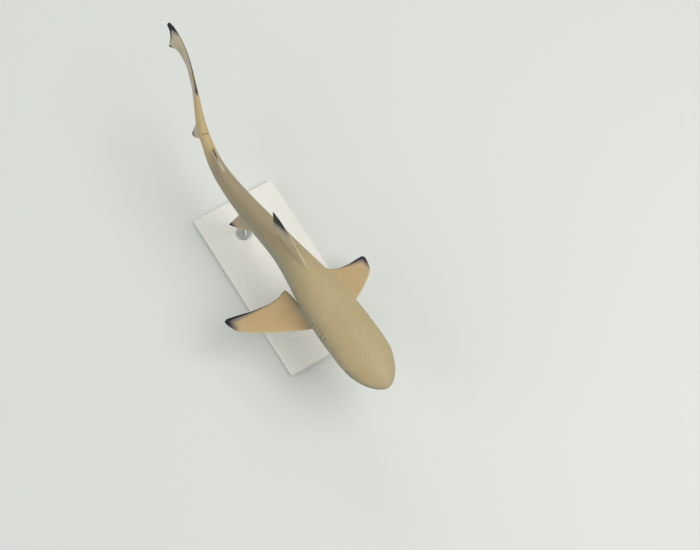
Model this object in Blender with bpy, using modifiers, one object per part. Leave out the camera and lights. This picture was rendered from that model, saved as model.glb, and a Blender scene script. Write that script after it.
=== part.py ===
"""A blacktip reef shark in a gentle swimming curve, life-size, on a plain display stand.

The animal is drawn straight first. There u runs from the snout (0) to the tip of the tail (1), v goes out to its
left and w goes up, all as shares of its length. bend() then lays that straight animal along its swimming curve,
in metres, with the head towards +X and the underside of the stand's base at Z = 0.
"""

import math

import bmesh
import bpy
import numpy as np
from mathutils import Matrix, Vector

# Driving dimensions
TOTAL_LENGTH = 0.80  # snout to tail tip, m
AXIS_HEIGHT = 0.150  # the body's axis above the surface the stand rests on, m
GAP = 0.0003  # between touching pieces, m
EDGE = 0.0007  # half thickness of the thinnest webs, as a share of the length

# The body: station, half width, back, belly, widest level, roundness above and below it (2 is an ellipse)
BODY = np.array([
    (0.000, 0.0020, 0.0010, -0.0040, -0.0015, 2.0, 2.0),
    (0.006, 0.0168, 0.0085, -0.0095, -0.0020, 2.0, 2.2),
    (0.018, 0.0300, 0.0155, -0.0135, -0.0025, 2.0, 2.4),
    (0.040, 0.0445, 0.0240, -0.0175, -0.0020, 2.0, 2.6),
    (0.070, 0.0550, 0.0325, -0.0250, 0.0000, 2.1, 2.5),
    (0.110, 0.0595, 0.0405, -0.0350, 0.0000, 2.1, 2.4),
    (0.160, 0.0592, 0.0475, -0.0435, -0.0020, 2.1, 2.3),
    (0.215, 0.0565, 0.0530, -0.0485, -0.0040, 2.1, 2.3),
    (0.270, 0.0505, 0.0555, -0.0510, -0.0050, 2.0, 2.2),
    (0.330, 0.0405, 0.0550, -0.0515, -0.0050, 2.0, 2.1),
    (0.400, 0.0310, 0.0515, -0.0495, -0.0040, 2.0, 2.1),
    (0.480, 0.0268, 0.0455, -0.0435, -0.0020, 2.0, 2.1),
    (0.560, 0.0222, 0.0390, -0.0360, 0.0000, 2.0, 2.0),
    (0.640, 0.0172, 0.0320, -0.0275, 0.0010, 2.0, 2.0),
    (0.692, 0.0143, 0.0262, -0.0210, 0.0020, 2.0, 2.0),
    (0.727, 0.0125, 0.0220, -0.0178, 0.0020, 2.0, 2.0),
    (0.739, 0.0122, 0.0235, -0.0180, 0.0030, 2.0, 1.9),
    (0.770, 0.0103, 0.0318, -0.0180, 0.0110, 1.9, 1.5),
    (0.815, 0.0076, 0.0430, -0.0060, 0.0260, 1.8, 1.1),
    (0.870, 0.0046, 0.0560, 0.0180, 0.0430, 1.7, 1.0),
    (0.915, 0.0030, 0.0680, 0.0390, 0.0570, 1.6, 1.0),
    (0.949, 0.0026, 0.0775, 0.0485, 0.0650, 1.6, 1.0),
    (0.966, 0.0022, 0.0830, 0.0425, 0.0700, 1.6, 1.0),
    (0.978, 0.0018, 0.0868, 0.0625, 0.0760, 1.6, 1.0),
    (0.990, 0.0013, 0.0905, 0.0755, 0.0835, 1.8, 1.5),
    (1.000, 0.0007, 0.0912, 0.0805, 0.0860, 2.0, 2.0),
])
AROUND = 32  # points round the body

# Where the body is divided, and how many rings each length has. With no number it has a ring at each station above,
# and one halfway to the next
LENGTHS = (
    ("head", 0.0, 0.214, 18),
    ("trunk_front", 0.214, 0.480, 12),
    ("trunk_rear", 0.480, 0.640, 7),
    ("tail", 0.640, 0.733, 6),
    ("caudal_upper_lobe", 0.733, 0.949, 0),
    ("caudal_terminal_lobe", 0.949, 1.0, 0),
)

# The swimming curve: station, and how far the body there turns towards the animal's right, in degrees
CURVE = ((0.0, 3), (0.20, 3), (0.32, 4), (0.46, 9), (0.60, 3), (0.70, -12), (0.80, -20), (0.88, -18), (0.94, -6), (1.0, 12))

# How far the tail fin leans over as it sweeps: station, and the turn of its lower edge to the right, degrees
LEAN = ((0.0, 0), (0.70, 0), (0.78, 10), (0.84, 10), (0.90, 16), (0.96, 42), (0.98, 45), (1.0, 50))

# Fins: where the base starts (u, v, w), the ways out and back (a paired fin has an out for left and for right),
# the greatest thickness, and rows of the outline: how far out, and how far back its front and rear edges are there
FINS = {
    "first_dorsal_fin": dict(
        base=(0.297, 0.0, 0.0550), out=[(0, 0.10, 1)], back=(1, -0.050, -0.020), thick=0.0100,
        rows=((-0.020, -0.016, 0.088), (0, 0.004, 0.092), (0.004, 0.0150, 0.1180), (0.008, 0.0225, 0.1275),
              (0.014, 0.0330, 0.1290), (0.024, 0.0480, 0.1305), (0.038, 0.0670, 0.1330), (0.052, 0.0905, 0.1355),
              (0.062, 0.1070, 0.1375), (0.068, 0.1180, 0.1385), (0.0715, 0.1270, 0.1390)),
    ),
    "second_dorsal_fin": dict(
        base=(0.613, 0.0, 0.0340), out=[(0, 0, 1)], back=(1, 0, -0.085), thick=0.0055,
        rows=((-0.012, -0.010, 0.045), (0, 0.002, 0.046), (0.003, 0.007, 0.062), (0.006, 0.012, 0.069),
              (0.010, 0.018, 0.063), (0.017, 0.028, 0.057), (0.024, 0.0385, 0.0555), (0.0280, 0.0460, 0.0565),
              (0.0295, 0.0505, 0.0570)),
    ),
    "anal_fin": dict(
        base=(0.615, 0.0, -0.0290), out=[(0, 0, -1)], back=(1, 0, 0.095), thick=0.0055,
        rows=((-0.012, -0.010, 0.045), (0, 0.002, 0.046), (0.003, 0.007, 0.064), (0.006, 0.012, 0.074),
              (0.010, 0.018, 0.062), (0.018, 0.029, 0.052), (0.026, 0.040, 0.0525), (0.033, 0.051, 0.058),
              (0.036, 0.0575, 0.061)),
    ),
    "caudal_lower_lobe": dict(
        base=(0.741, 0.0, -0.0130), out=[(0.37, -0.035, -1)], back=(1, 0, 0.45), thick=0.0100,
        rows=((-0.012, -0.004, 0.090), (0, 0.000, 0.076), (0.010, 0.0005, 0.058), (0.025, 0.002, 0.0435),
              (0.045, 0.005, 0.034), (0.060, 0.009, 0.030), (0.070, 0.0125, 0.0275), (0.079, 0.0185, 0.0245)),
    ),
    "pectoral_fin": dict(
        base=(0.212, 0.0440, -0.0300), out=[(-0.14, 0.80, -0.60), (0, 0.987, -0.156)], back=(1, 0, 0),
        thick=0.0110,
        rows=((-0.024, -0.012, 0.052), (0, -0.004, 0.057), (0.003, -0.003, 0.094), (0.006, -0.002, 0.108),
              (0.011, 0.001, 0.1105), (0.030, 0.011, 0.105), (0.050, 0.023, 0.1045), (0.070, 0.0355, 0.1085),
              (0.090, 0.049, 0.113), (0.110, 0.0635, 0.1195), (0.128, 0.077, 0.126), (0.142, 0.0895, 0.1305),
              (0.151, 0.1015, 0.133), (0.1555, 0.115, 0.132)),
    ),
    "pelvic_fin": dict(
        base=(0.476, 0.0110, -0.0350), out=[(0, 0.62, -0.78), (0, 0.90, -0.43)], back=(1, -0.06, 0.06),
        thick=0.0060,
        rows=((-0.012, -0.006, 0.044), (0, 0, 0.046), (0.004, 0.005, 0.058), (0.008, 0.010, 0.0625),
              (0.016, 0.0205, 0.0625), (0.026, 0.0355, 0.0625), (0.034, 0.0485, 0.0630), (0.039, 0.0575, 0.0640)),
    ),
}
FIN_CHORD = 7  # steps from the front edge to the rear edge
FIN_TIP = 0.0018  # full thickness towards the point, share of length
FLARE = 0.006  # the fairing where a fin grows out of the body: extra thickness, and the height it fades over

# Eye: its place, its half sizes as shares of the length, how far it stands out, and its turn towards the snout
EYE_U, EYE_W = 0.073, 0.0050
EYE_SIZE = (0.0108, 0.0090, 0.0090)
EYE_OUT = 0.0018
EYE_TURN = math.radians(14)

# Mouth: where the lower jaw begins and ends, its half width, how deep it reaches
JAW_U, JAW_END, JAW_HALF, JAW_TOP = 0.060, 0.120, 0.034, -0.010
JAW_STEPS = 14

# Gill slits: stations, the angles round the body they run between, half width and depth, share of length
GILL_U = (0.160, 0.172, 0.184, 0.195, 0.2055)
GILL_ANGLES = ((-40, 28), (-42, 30), (-40, 30), (-24, 28), (-10, 24))
GILL_HALF = 0.0006
GILL_DEPTH = 0.0025

# Nostril: its place, its half sizes and its turn
NOSTRIL = (0.036, 0.0225, -0.0165)
NOSTRIL_SIZE = (0.0020, 0.0055, 0.0030)
NOSTRIL_TURN = math.radians(30)

# Stand, m
BASE_SIZE = (0.36, 0.17, 0.014)
BASE_ROUND = 0.003
ROD_RADIUS = 0.004
ROD_STATIONS = {"stand_rod_front": 0.270, "stand_rod_rear": 0.545}

# The pieces' colours, roughness and metal
LOOKS = {
    "skin": ((0.40, 0.32, 0.19), 0.5, 0),
    "eye": ((0.05, 0.05, 0.03), 0.1, 0),
    "stand_base": ((0.62, 0.60, 0.55), 0.4, 0),
    "stand_rod": ((0.60, 0.60, 0.60), 0.3, 1),
}


def through(xs, ys, x):
    """A smooth curve through the points (xs, ys), read at x, that never swings past a point."""
    xs, ys, x = (np.asarray(a, float) for a in (xs, ys, x))
    step = np.diff(xs)
    slope = np.diff(ys) / step
    same_way = slope[:-1] * slope[1:] > 0
    both = np.where(same_way, slope[:-1] + slope[1:], 1.0)
    inner = np.where(same_way, 2 * slope[:-1] * slope[1:] / both, 0.0)
    tangent = np.concatenate([slope[:1], inner, slope[-1:]])
    i = np.clip(np.searchsorted(xs, x) - 1, 0, len(step) - 1)
    t = (x - xs[i]) / step[i]
    rise = ys[i] + (ys[i + 1] - ys[i]) * t * t * (3 - 2 * t)
    return rise + step[i] * t * (1 - t) * (tangent[i] * (1 - t) - tangent[i + 1] * t)


def curve_tables():
    """Stations along the axis with their place in the plane, metres, and turn, radians."""
    u = np.linspace(0, 1, 401)
    turn = np.radians(through(*zip(*CURVE), u))
    way = np.stack([-np.cos(turn), -np.sin(turn)], axis=1) * TOTAL_LENGTH
    walked = np.cumsum((way[1:] + way[:-1]) / 2 * (u[1] - u[0]), axis=0)
    return u, np.vstack([[0, 0], walked]), turn


def placed(u, v, w, stations, places, turns):
    """Points of the straight animal, with the axis at each one's station u laid on the swimming curve."""
    at = np.clip(u, 0, 1)
    top = through(BODY[:, 0], BODY[:, 2], at)
    lean = np.radians(through(*zip(*LEAN), at))
    v, w = v * np.cos(lean) + (w - top) * np.sin(lean), top - v * np.sin(lean) + (w - top) * np.cos(lean)
    x, y = (np.interp(at, stations, places[:, k]) for k in (0, 1))
    turn = np.interp(at, stations, turns)
    past = (u - at) * TOTAL_LENGTH
    x, y = x - np.cos(turn) * past, y - np.sin(turn) * past
    side = v * TOTAL_LENGTH
    return np.stack([x - np.sin(turn) * side, y + np.cos(turn) * side, AXIS_HEIGHT + w * TOTAL_LENGTH], axis=1)


def bend(points, rigid_at=None):
    """Straight points to world points. With rigid_at, all turn and shift as that one station does."""
    stations, places, turns = curve_tables()
    middle = np.array([np.interp(np.mean(list(ROD_STATIONS.values())), stations, places[:, k]) for k in (0, 1)])
    places = places - middle
    points = np.asarray(points, float)
    if rigid_at is None:
        return placed(*points.T, stations, places, turns)
    turn = np.interp(rigid_at, stations, turns)
    start = placed(np.array([rigid_at]), np.zeros(1), np.zeros(1), stations, places, turns)[0]
    along, side, up = ((points - (rigid_at, 0, 0)) * TOTAL_LENGTH).T
    x = start[0] - np.cos(turn) * along - np.sin(turn) * side
    y = start[1] - np.sin(turn) * along + np.cos(turn) * side
    return np.stack([x, y, start[2] + up], axis=1)


def body_point(u, angle, swell=0.0):
    """Where the body's surface is at station u and an angle round from its left, as (u, v, w). An angle may be an
    array, and swell makes the surface stand out by that share."""
    root = np.sqrt(BODY[:, 0])
    half, back, belly, level, above, below = (through(root, BODY[:, k], math.sqrt(u)) for k in range(1, 7))
    c, s = np.cos(angle), np.sin(angle)
    power = 2 / np.where(s > 0, above, below)
    thin = min(EDGE, half)
    v = np.sign(c) * ((half - thin) * np.abs(c) ** power + (thin + swell) * np.abs(c) ** 0.4)
    reach = np.where(s > 0, back - level, level - belly) + swell
    return np.array([u + 0 * v, v, level + np.sign(s) * reach * np.abs(s) ** power])


def body_ring(u, swell=0.0):
    """The closed outline of the body at station u, as rows of (u, v, w)."""
    return body_point(u, np.arange(AROUND) * 2 * math.pi / AROUND, swell).T


def mesh_object(name, points, faces, collection):
    """A closed mesh object from world points and faces, with its faces turned outwards."""
    mesh = bpy.data.meshes.new(name)
    mesh.from_pydata([tuple(p) for p in points], [], faces)
    shape = bmesh.new()
    shape.from_mesh(mesh)
    bmesh.ops.remove_doubles(shape, verts=shape.verts, dist=1e-5)
    bmesh.ops.recalc_face_normals(shape, faces=shape.faces)
    shape.to_mesh(mesh)
    shape.free()
    obj = bpy.data.objects.new(name, mesh)
    collection.objects.link(obj)
    return obj


def loft(name, rings, collection):
    """Skins a list of equal rings of world points, and closes both ends."""
    count = len(rings[0])
    faces = []
    for k in range(len(rings) - 1):
        for i in range(count):
            j = (i + 1) % count
            faces.append((k * count + i, k * count + j, (k + 1) * count + j, (k + 1) * count + i))
    faces.append(tuple(range(count)))
    faces.append(tuple(range((len(rings) - 1) * count, len(rings) * count)))
    return mesh_object(name, np.concatenate(rings), faces, collection)


def stations_of(start, end, count):
    """The stations of one length of the body, half the gap short of each end that meets another."""
    half_gap = GAP / 2 / TOTAL_LENGTH
    low = start + half_gap if start > 0 else start
    high = end - half_gap if end < 1 else end
    if start == 0:
        return (np.linspace(0, 1, count) ** 1.7) * high
    if count:
        return np.linspace(low, high, count)
    halfway = (BODY[1:, 0] + BODY[:-1, 0]) / 2
    inner = np.sort(np.concatenate([BODY[:, 0], halfway]))
    return np.concatenate([[low], inner[(inner > low + 0.001) & (inner < high - 0.001)], [high]])


def body_loft(name, stations, collection, swell=0.0):
    return loft(name, [bend(body_ring(u, swell)) for u in stations], collection)


def foil(t):
    """Half thickness of a fin's section from front (0) to rear (1), as a share of its greatest."""
    return (0.2969 * np.sqrt(t) - 0.1260 * t - 0.3516 * t**2 + 0.2843 * t**3 - 0.1036 * t**4) / 0.1


def fin(name, spec, side, collection):
    """A fin as a stack of foil sections from inside the body out to its point. side is 1 left, -1 right, 0 neither."""
    base, back = (np.array(spec[k], float) for k in ("base", "back"))
    out = np.array(spec["out"][1 if side < 0 else 0], float)
    if side:
        base, out, back = (a * (1, side, 1) for a in (base, out, back))
    out, back = out / np.linalg.norm(out), back / np.linalg.norm(back)
    across = np.cross(out, back)
    across /= np.linalg.norm(across)
    tip = spec["rows"][-1][0]
    steps = (1 - np.cos(np.linspace(0, math.pi, FIN_CHORD + 1))) / 2
    rings = []
    for s, front, rear in spec["rows"]:
        outside = max(s, 0.0)
        thick = FIN_TIP + (spec["thick"] - FIN_TIP) * (1 - outside / tip) ** 1.3
        thick += FLARE * math.exp(-outside / FLARE)
        half = EDGE + (thick / 2 - EDGE) * foil(steps)
        half[0] = half[-1] = 0
        along = front + (rear - front) * steps
        upper = base + s * out + np.outer(along, back) + np.outer(half, across)
        lower = base + s * out + np.outer(along, back) - np.outer(half, across)
        ring = np.concatenate([upper, lower[-2:0:-1]])
        rings.append(bend(ring, base[0] if side else None))
    return loft(name, rings, collection)


def cut(obj, cutter, operation="DIFFERENCE"):
    """Cuts obj with cutter, which stays hidden."""
    change = obj.modifiers.new("cut_" + cutter.name, "BOOLEAN")
    change.operation = operation
    change.solver = "EXACT"
    change.object = cutter


def ball(name, centre, half_sizes, turn, collection, grow=0.0):
    """An ellipsoid of world half sizes plus grow, turned about Z."""
    mesh = bpy.data.meshes.new(name)
    shape = bmesh.new()
    bmesh.ops.create_uvsphere(shape, u_segments=18, v_segments=10, radius=1.0)
    spin = Matrix.Rotation(turn, 3, "Z")
    for vert in shape.verts:
        vert.co = Vector(centre) + spin @ Vector(c * (h + grow) for c, h in zip(vert.co, half_sizes))
    shape.to_mesh(mesh)
    shape.free()
    obj = bpy.data.objects.new(name, mesh)
    collection.objects.link(obj)
    return obj


def new_collection(name, hidden=False):
    collection = bpy.data.collections.new(name)
    bpy.context.scene.collection.children.link(collection)
    collection.hide_render = hidden
    return collection


def cutter(obj):
    obj.hide_render = True
    obj.display_type = "WIRE"
    return obj


def heading(u):
    """The world angle the animal faces at station u, about Z."""
    stations, _, turns = curve_tables()
    return float(np.interp(u, stations, turns))


def add_eyes(head, parts, tools):
    """Two eyeballs, and the sockets that hold them."""
    ring = body_ring(EYE_U)
    side = ring[ring[:, 1] > 0]
    reach = float(side[np.argmin(np.abs(side[:, 2] - EYE_W)), 1])
    sizes = [s * TOTAL_LENGTH for s in EYE_SIZE]
    for name, sign in (("left", 1), ("right", -1)):
        centre = bend([(EYE_U, sign * (reach + EYE_OUT - EYE_SIZE[1]), EYE_W)])[0]
        turn = heading(EYE_U) - sign * EYE_TURN
        ball("eye_" + name, centre, sizes, turn, parts)
        cut(head, cutter(ball("socket_" + name, centre, sizes, turn, tools, grow=GAP)))


def add_nostrils(head, tools):
    u, v, w = NOSTRIL
    sizes = [s * TOTAL_LENGTH for s in NOSTRIL_SIZE]
    for name, sign in (("left", 1), ("right", -1)):
        centre = bend([(u, sign * v, w)])[0]
        turn = heading(u) + sign * NOSTRIL_TURN
        cut(head, cutter(ball("nostril_" + name, centre, sizes, turn, tools)))


def add_gills(head, tools):
    """Five shallow slits down each side, each cut by a thin bar that follows the body's section."""
    for k, (u, (low, high)) in enumerate(zip(GILL_U, GILL_ANGLES), 1):
        for name, sign in (("left", 1), ("right", -1)):
            rings = []
            for angle in np.radians(np.linspace(low, high, 7)):
                deep = 1 - GILL_DEPTH / 0.045
                point = body_point(u, angle)
                corners = [(u - GILL_HALF, deep), (u + GILL_HALF, deep), (u + GILL_HALF, 1.06), (u - GILL_HALF, 1.06)]
                rings.append(bend([(at, sign * point[1] * out, point[2] * out) for at, out in corners]))
            cut(head, cutter(loft(f"gill_{name}_{k}", rings, tools)))


def jaw_block(name, grow, collection):
    """The block of the head's underside that the lower jaw is made from: a round front and a straight rear."""
    turn = np.linspace(-math.pi / 2, math.pi / 2, JAW_STEPS)
    length = JAW_END - JAW_U
    front = [(JAW_END - (length + grow) * math.cos(t), (JAW_HALF + grow) * math.sin(t)) for t in turn]
    outline = front + [(JAW_END + grow, JAW_HALF + grow), (JAW_END + grow, -JAW_HALF - grow)]
    rings = [bend([(u, v, w) for u, v in outline]) for w in (-0.08, JAW_TOP + grow)]
    return loft(name, rings, collection)


def add_jaw(head, parts, tools):
    jaw = body_loft("lower_jaw", stations_of(*LENGTHS[0][1:]), parts)
    cut(jaw, cutter(jaw_block("jaw_block", 0.0, tools)), "INTERSECT")
    cut(head, cutter(jaw_block("jaw_hollow", GAP / TOTAL_LENGTH, tools)))


def rod(name, station, body, parts):
    """A round rod from the base up to the belly, cut to the belly's own curve."""
    foot = BASE_SIZE[2] + GAP
    top = AXIS_HEIGHT - 0.02 * TOTAL_LENGTH
    x, y, _ = bend([(station, 0, 0)])[0]
    bpy.ops.mesh.primitive_cylinder_add(
        vertices=24, radius=ROD_RADIUS, depth=top - foot, location=(x, y, (top + foot) / 2))
    obj = bpy.context.object
    obj.name = obj.data.name = name
    move_to(obj, parts)
    cut(obj, body)


def base(parts):
    bpy.ops.mesh.primitive_cube_add(size=1, location=(0, 0, BASE_SIZE[2] / 2))
    obj = bpy.context.object
    obj.name = obj.data.name = "stand_base"
    obj.scale = BASE_SIZE
    bpy.ops.object.transform_apply(location=True, rotation=False, scale=True)
    rounding = obj.modifiers.new("rounding", "BEVEL")
    rounding.width = BASE_ROUND
    rounding.segments = 3
    move_to(obj, parts)


def move_to(obj, collection):
    for held in list(obj.users_collection):
        held.objects.unlink(obj)
    collection.objects.link(obj)


def material(name):
    colour, roughness, metallic = LOOKS[name]
    made = bpy.data.materials.new(name)
    made.use_nodes = True
    shader = made.node_tree.nodes["Principled BSDF"]
    shader.inputs["Base Color"].default_value = (*colour, 1)
    shader.inputs["Roughness"].default_value = roughness
    shader.inputs["Metallic"].default_value = metallic
    return made


def finish(parts):
    """Gives each piece its own material, and shades the round ones smooth."""
    for obj in parts.objects:
        look = next((key for key in LOOKS if obj.name.startswith(key)), "skin")
        made = material(look)
        made.name = obj.name + "_" + look.split("_")[-1]
        obj.data.materials.append(made)
        obj.data.shade_smooth()


def main():
    for obj in list(bpy.data.objects):
        bpy.data.objects.remove(obj)
    parts = new_collection("blacktip_shark")
    tools = new_collection("cutters", hidden=True)
    runs = [stations_of(*length[1:]) for length in LENGTHS]
    for (name, *_), run in zip(LENGTHS, runs):
        body_loft(name, run, parts)
    body = cutter(body_loft("body_cutter", np.concatenate(runs), tools, swell=GAP / TOTAL_LENGTH))
    for name, spec in FINS.items():
        sides = (("_left", 1), ("_right", -1)) if len(spec["out"]) > 1 else (("", 0),)
        for suffix, side in sides:
            cut(fin(name + suffix, spec, side, parts), body)
    head = bpy.data.objects["head"]
    add_eyes(head, parts, tools)
    add_nostrils(head, tools)
    add_gills(head, tools)
    add_jaw(head, parts, tools)
    base(parts)
    for name, station in ROD_STATIONS.items():
        rod(name, station, body, parts)
    finish(parts)


main()
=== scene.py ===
# %% [markdown]
# # A blacktip reef shark, life size, on its display stand
#
# This lesson dresses a plain CAD model of a young blacktip reef shark. A fish has no seams, so the CAD's
# separate lengths of flesh are stood for by one skin, drawn as one surface from the snout to the tip of the
# tail. The eyes, the rods and the base stay pieces of their own.
#
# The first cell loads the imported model. Everything after it is measured in metres in that model's frame: +X
# runs towards the head, +Y to the animal's left, +Z up, with the stand's underside at Z = 0.

# %% Load the model that everything is fitted to
import math

import bmesh
import bpy
import numpy as np
from mathutils import Matrix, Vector
from mathutils.kdtree import KDTree


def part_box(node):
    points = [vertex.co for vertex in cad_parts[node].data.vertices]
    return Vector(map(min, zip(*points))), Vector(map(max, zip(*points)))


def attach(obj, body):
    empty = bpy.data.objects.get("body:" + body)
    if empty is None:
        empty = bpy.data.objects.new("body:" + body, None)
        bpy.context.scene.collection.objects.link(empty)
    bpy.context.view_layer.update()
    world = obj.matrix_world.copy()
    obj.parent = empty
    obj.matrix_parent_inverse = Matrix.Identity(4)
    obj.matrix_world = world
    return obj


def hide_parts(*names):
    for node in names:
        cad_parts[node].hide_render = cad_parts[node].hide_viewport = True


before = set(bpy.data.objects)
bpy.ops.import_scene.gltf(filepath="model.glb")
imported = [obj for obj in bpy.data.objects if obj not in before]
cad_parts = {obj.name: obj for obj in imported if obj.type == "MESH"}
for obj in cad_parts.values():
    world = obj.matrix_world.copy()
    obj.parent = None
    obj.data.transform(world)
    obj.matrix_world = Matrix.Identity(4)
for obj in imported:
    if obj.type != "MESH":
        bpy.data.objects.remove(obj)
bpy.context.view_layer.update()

print("nodes to dress:", sorted(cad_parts))

# %% [markdown]
# ## The view
#
# The animal is looked down on from high in front of its right side, through a long lens, so that the body
# tapers away with little perspective. The camera looks straight at the middle of the body, and the lens's
# shift then slides the animal up and left in the frame. Turning the camera instead would change the
# perspective.

# %% Camera
AXIS_HEIGHT = 0.150  # the body's axis above the floor
VIEW_TURN = math.radians(59)
VIEW_RISE = math.radians(66)
VIEW_DISTANCE = 2.955
LENS = 85  # mm
SHIFT = (0.0986, -0.0429)  # slides the picture off the lens's axis, in picture widths

towards_camera = np.array([
    math.sin(VIEW_TURN) * math.cos(VIEW_RISE),
    -math.cos(VIEW_TURN) * math.cos(VIEW_RISE),
    math.sin(VIEW_RISE),
])

camera = bpy.data.objects.new("camera", bpy.data.cameras.new("camera"))
camera.data.lens = LENS
camera.data.shift_x, camera.data.shift_y = SHIFT
camera.location = np.array([0, 0, AXIS_HEIGHT]) + VIEW_DISTANCE * towards_camera
camera.rotation_euler = (math.pi / 2 - VIEW_RISE, 0, VIEW_TURN)
bpy.context.collection.objects.link(camera)
bpy.context.scene.camera = camera
print("camera at", [round(c, 3) for c in camera.location])

# %% [markdown]
# ## Floor and light
#
# A studio for a pale, satin thing needs broad light from above, a weaker fill, and a rim from behind that
# draws the edges of the fins. The floor is one wide sheet, far larger than the picture.

# %% Helpers for materials
def new_material(name):
    """A material, its node tree and the tree's Principled shader."""
    material = bpy.data.materials.new(name)
    material.use_nodes = True
    tree = material.node_tree
    return material, tree, tree.nodes["Principled BSDF"]


def node(tree, kind, **inputs):
    """Adds a node. A key with a leading capital fills an input: a node's output links it, a value sets it.
    Other keys set the node's own properties."""
    made = tree.nodes.new(kind)
    for key, value in inputs.items():
        if not key[0].isupper():
            setattr(made, key, value)
    for key, value in inputs.items():
        if key[0].isupper():
            feed(tree, made.inputs[key.replace("_", " ")], value)
    return made


def feed(tree, socket, value):
    if isinstance(value, bpy.types.NodeSocket):
        tree.links.new(value, socket)
    else:
        socket.default_value = value


def maths(tree, operation, first, second=0.0, third=0.0, clamp=False):
    made = tree.nodes.new("ShaderNodeMath")
    made.operation = operation
    made.use_clamp = clamp
    for socket, value in zip(made.inputs, (first, second, third)):
        feed(tree, socket, value)
    return made.outputs[0]


def blended(tree, share, first, second, blend="MIX"):
    """Colour first turning into colour second as share goes from 0 to 1."""
    made = tree.nodes.new("ShaderNodeMix")
    made.data_type = "RGBA"
    made.blend_type = blend
    for key, value in ((0, share), (6, first), (7, second)):
        feed(tree, made.inputs[key], value)
    return made.outputs[2]


def ranged(tree, value, low, high, out_low=0.0, out_high=1.0, smooth=True):
    made = tree.nodes.new("ShaderNodeMapRange")
    made.interpolation_type = "SMOOTHSTEP" if smooth else "LINEAR"
    for socket, given in zip(made.inputs, (value, low, high, out_low, out_high)):
        feed(tree, socket, given)
    return made.outputs[0]


def paint(red, green, blue):
    """A colour given as it looks on a screen, 0 to 255, turned into the linear values that shaders use."""
    shares = [c / 255 for c in (red, green, blue)]
    return [c / 12.92 if c <= 0.04045 else ((c + 0.055) / 1.055) ** 2.4 for c in shares] + [1.0]


# %% Floor
FLOOR_SIZE = 12.0

bpy.ops.mesh.primitive_grid_add(x_subdivisions=4, y_subdivisions=4, size=FLOOR_SIZE, location=(0, 0, -0.0002))
floor = bpy.context.object
floor.name = "studio_floor"
floor_look, _, floor_shader = new_material("floor_paper")
floor_shader.inputs["Base Color"].default_value = paint(214, 217, 212)
floor_shader.inputs["Roughness"].default_value = 0.9
floor.data.materials.append(floor_look)

# %% Lights
def soft_light(name, place, size, watts, tint=(1, 1, 1)):
    """A square area light that faces the middle of the body."""
    light = bpy.data.objects.new(name, bpy.data.lights.new(name, "AREA"))
    light.data.size = size
    light.data.energy = watts
    light.data.color = tint
    light.location = place
    to_body = np.array([0, 0, AXIS_HEIGHT]) - np.array(place)
    flat = math.hypot(to_body[0], to_body[1])
    light.rotation_euler = (math.atan2(flat, -to_body[2]), 0, math.atan2(-to_body[0], to_body[1]))
    bpy.context.collection.objects.link(light)


soft_light("key_light", (1.3, 1.2, 2.5), 2.0, 52, (1.0, 0.98, 0.94))
soft_light("fill_light", (-0.6, -2.4, 1.8), 2.2, 22, (0.96, 0.97, 1.0))
soft_light("rim_light", (-2.4, 0.8, 1.4), 1.4, 14)
world = bpy.data.worlds.new("studio")
world.use_nodes = True
world.node_tree.nodes["Background"].inputs["Color"].default_value = (0.80, 0.82, 0.82, 1)
world.node_tree.nodes["Background"].inputs["Strength"].default_value = 0.60
bpy.context.scene.world = world
bpy.context.scene.view_settings.view_transform = "Standard"  # paint colours come out as they were mixed
print("floor and three lights")

# %% [markdown]
# ## The animal, straight
#
# A swimming fish is hard to draw directly. It is easier to draw it straight, as a ship's hull is drawn: a
# table of stations along the body, with the section at each. Places in the straight animal are (u, v, w),
# as shares of the total length: u back from the snout, v to the left, w up from the axis. A second step,
# further down, bends it.
#
# Each row is a station, the half width there, the back's height, the belly's, the level where the section
# is widest, and how full it is above and below. 2 is an ellipse, more is boxier, and 1 comes to an edge, as
# under a tail fin.

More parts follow.
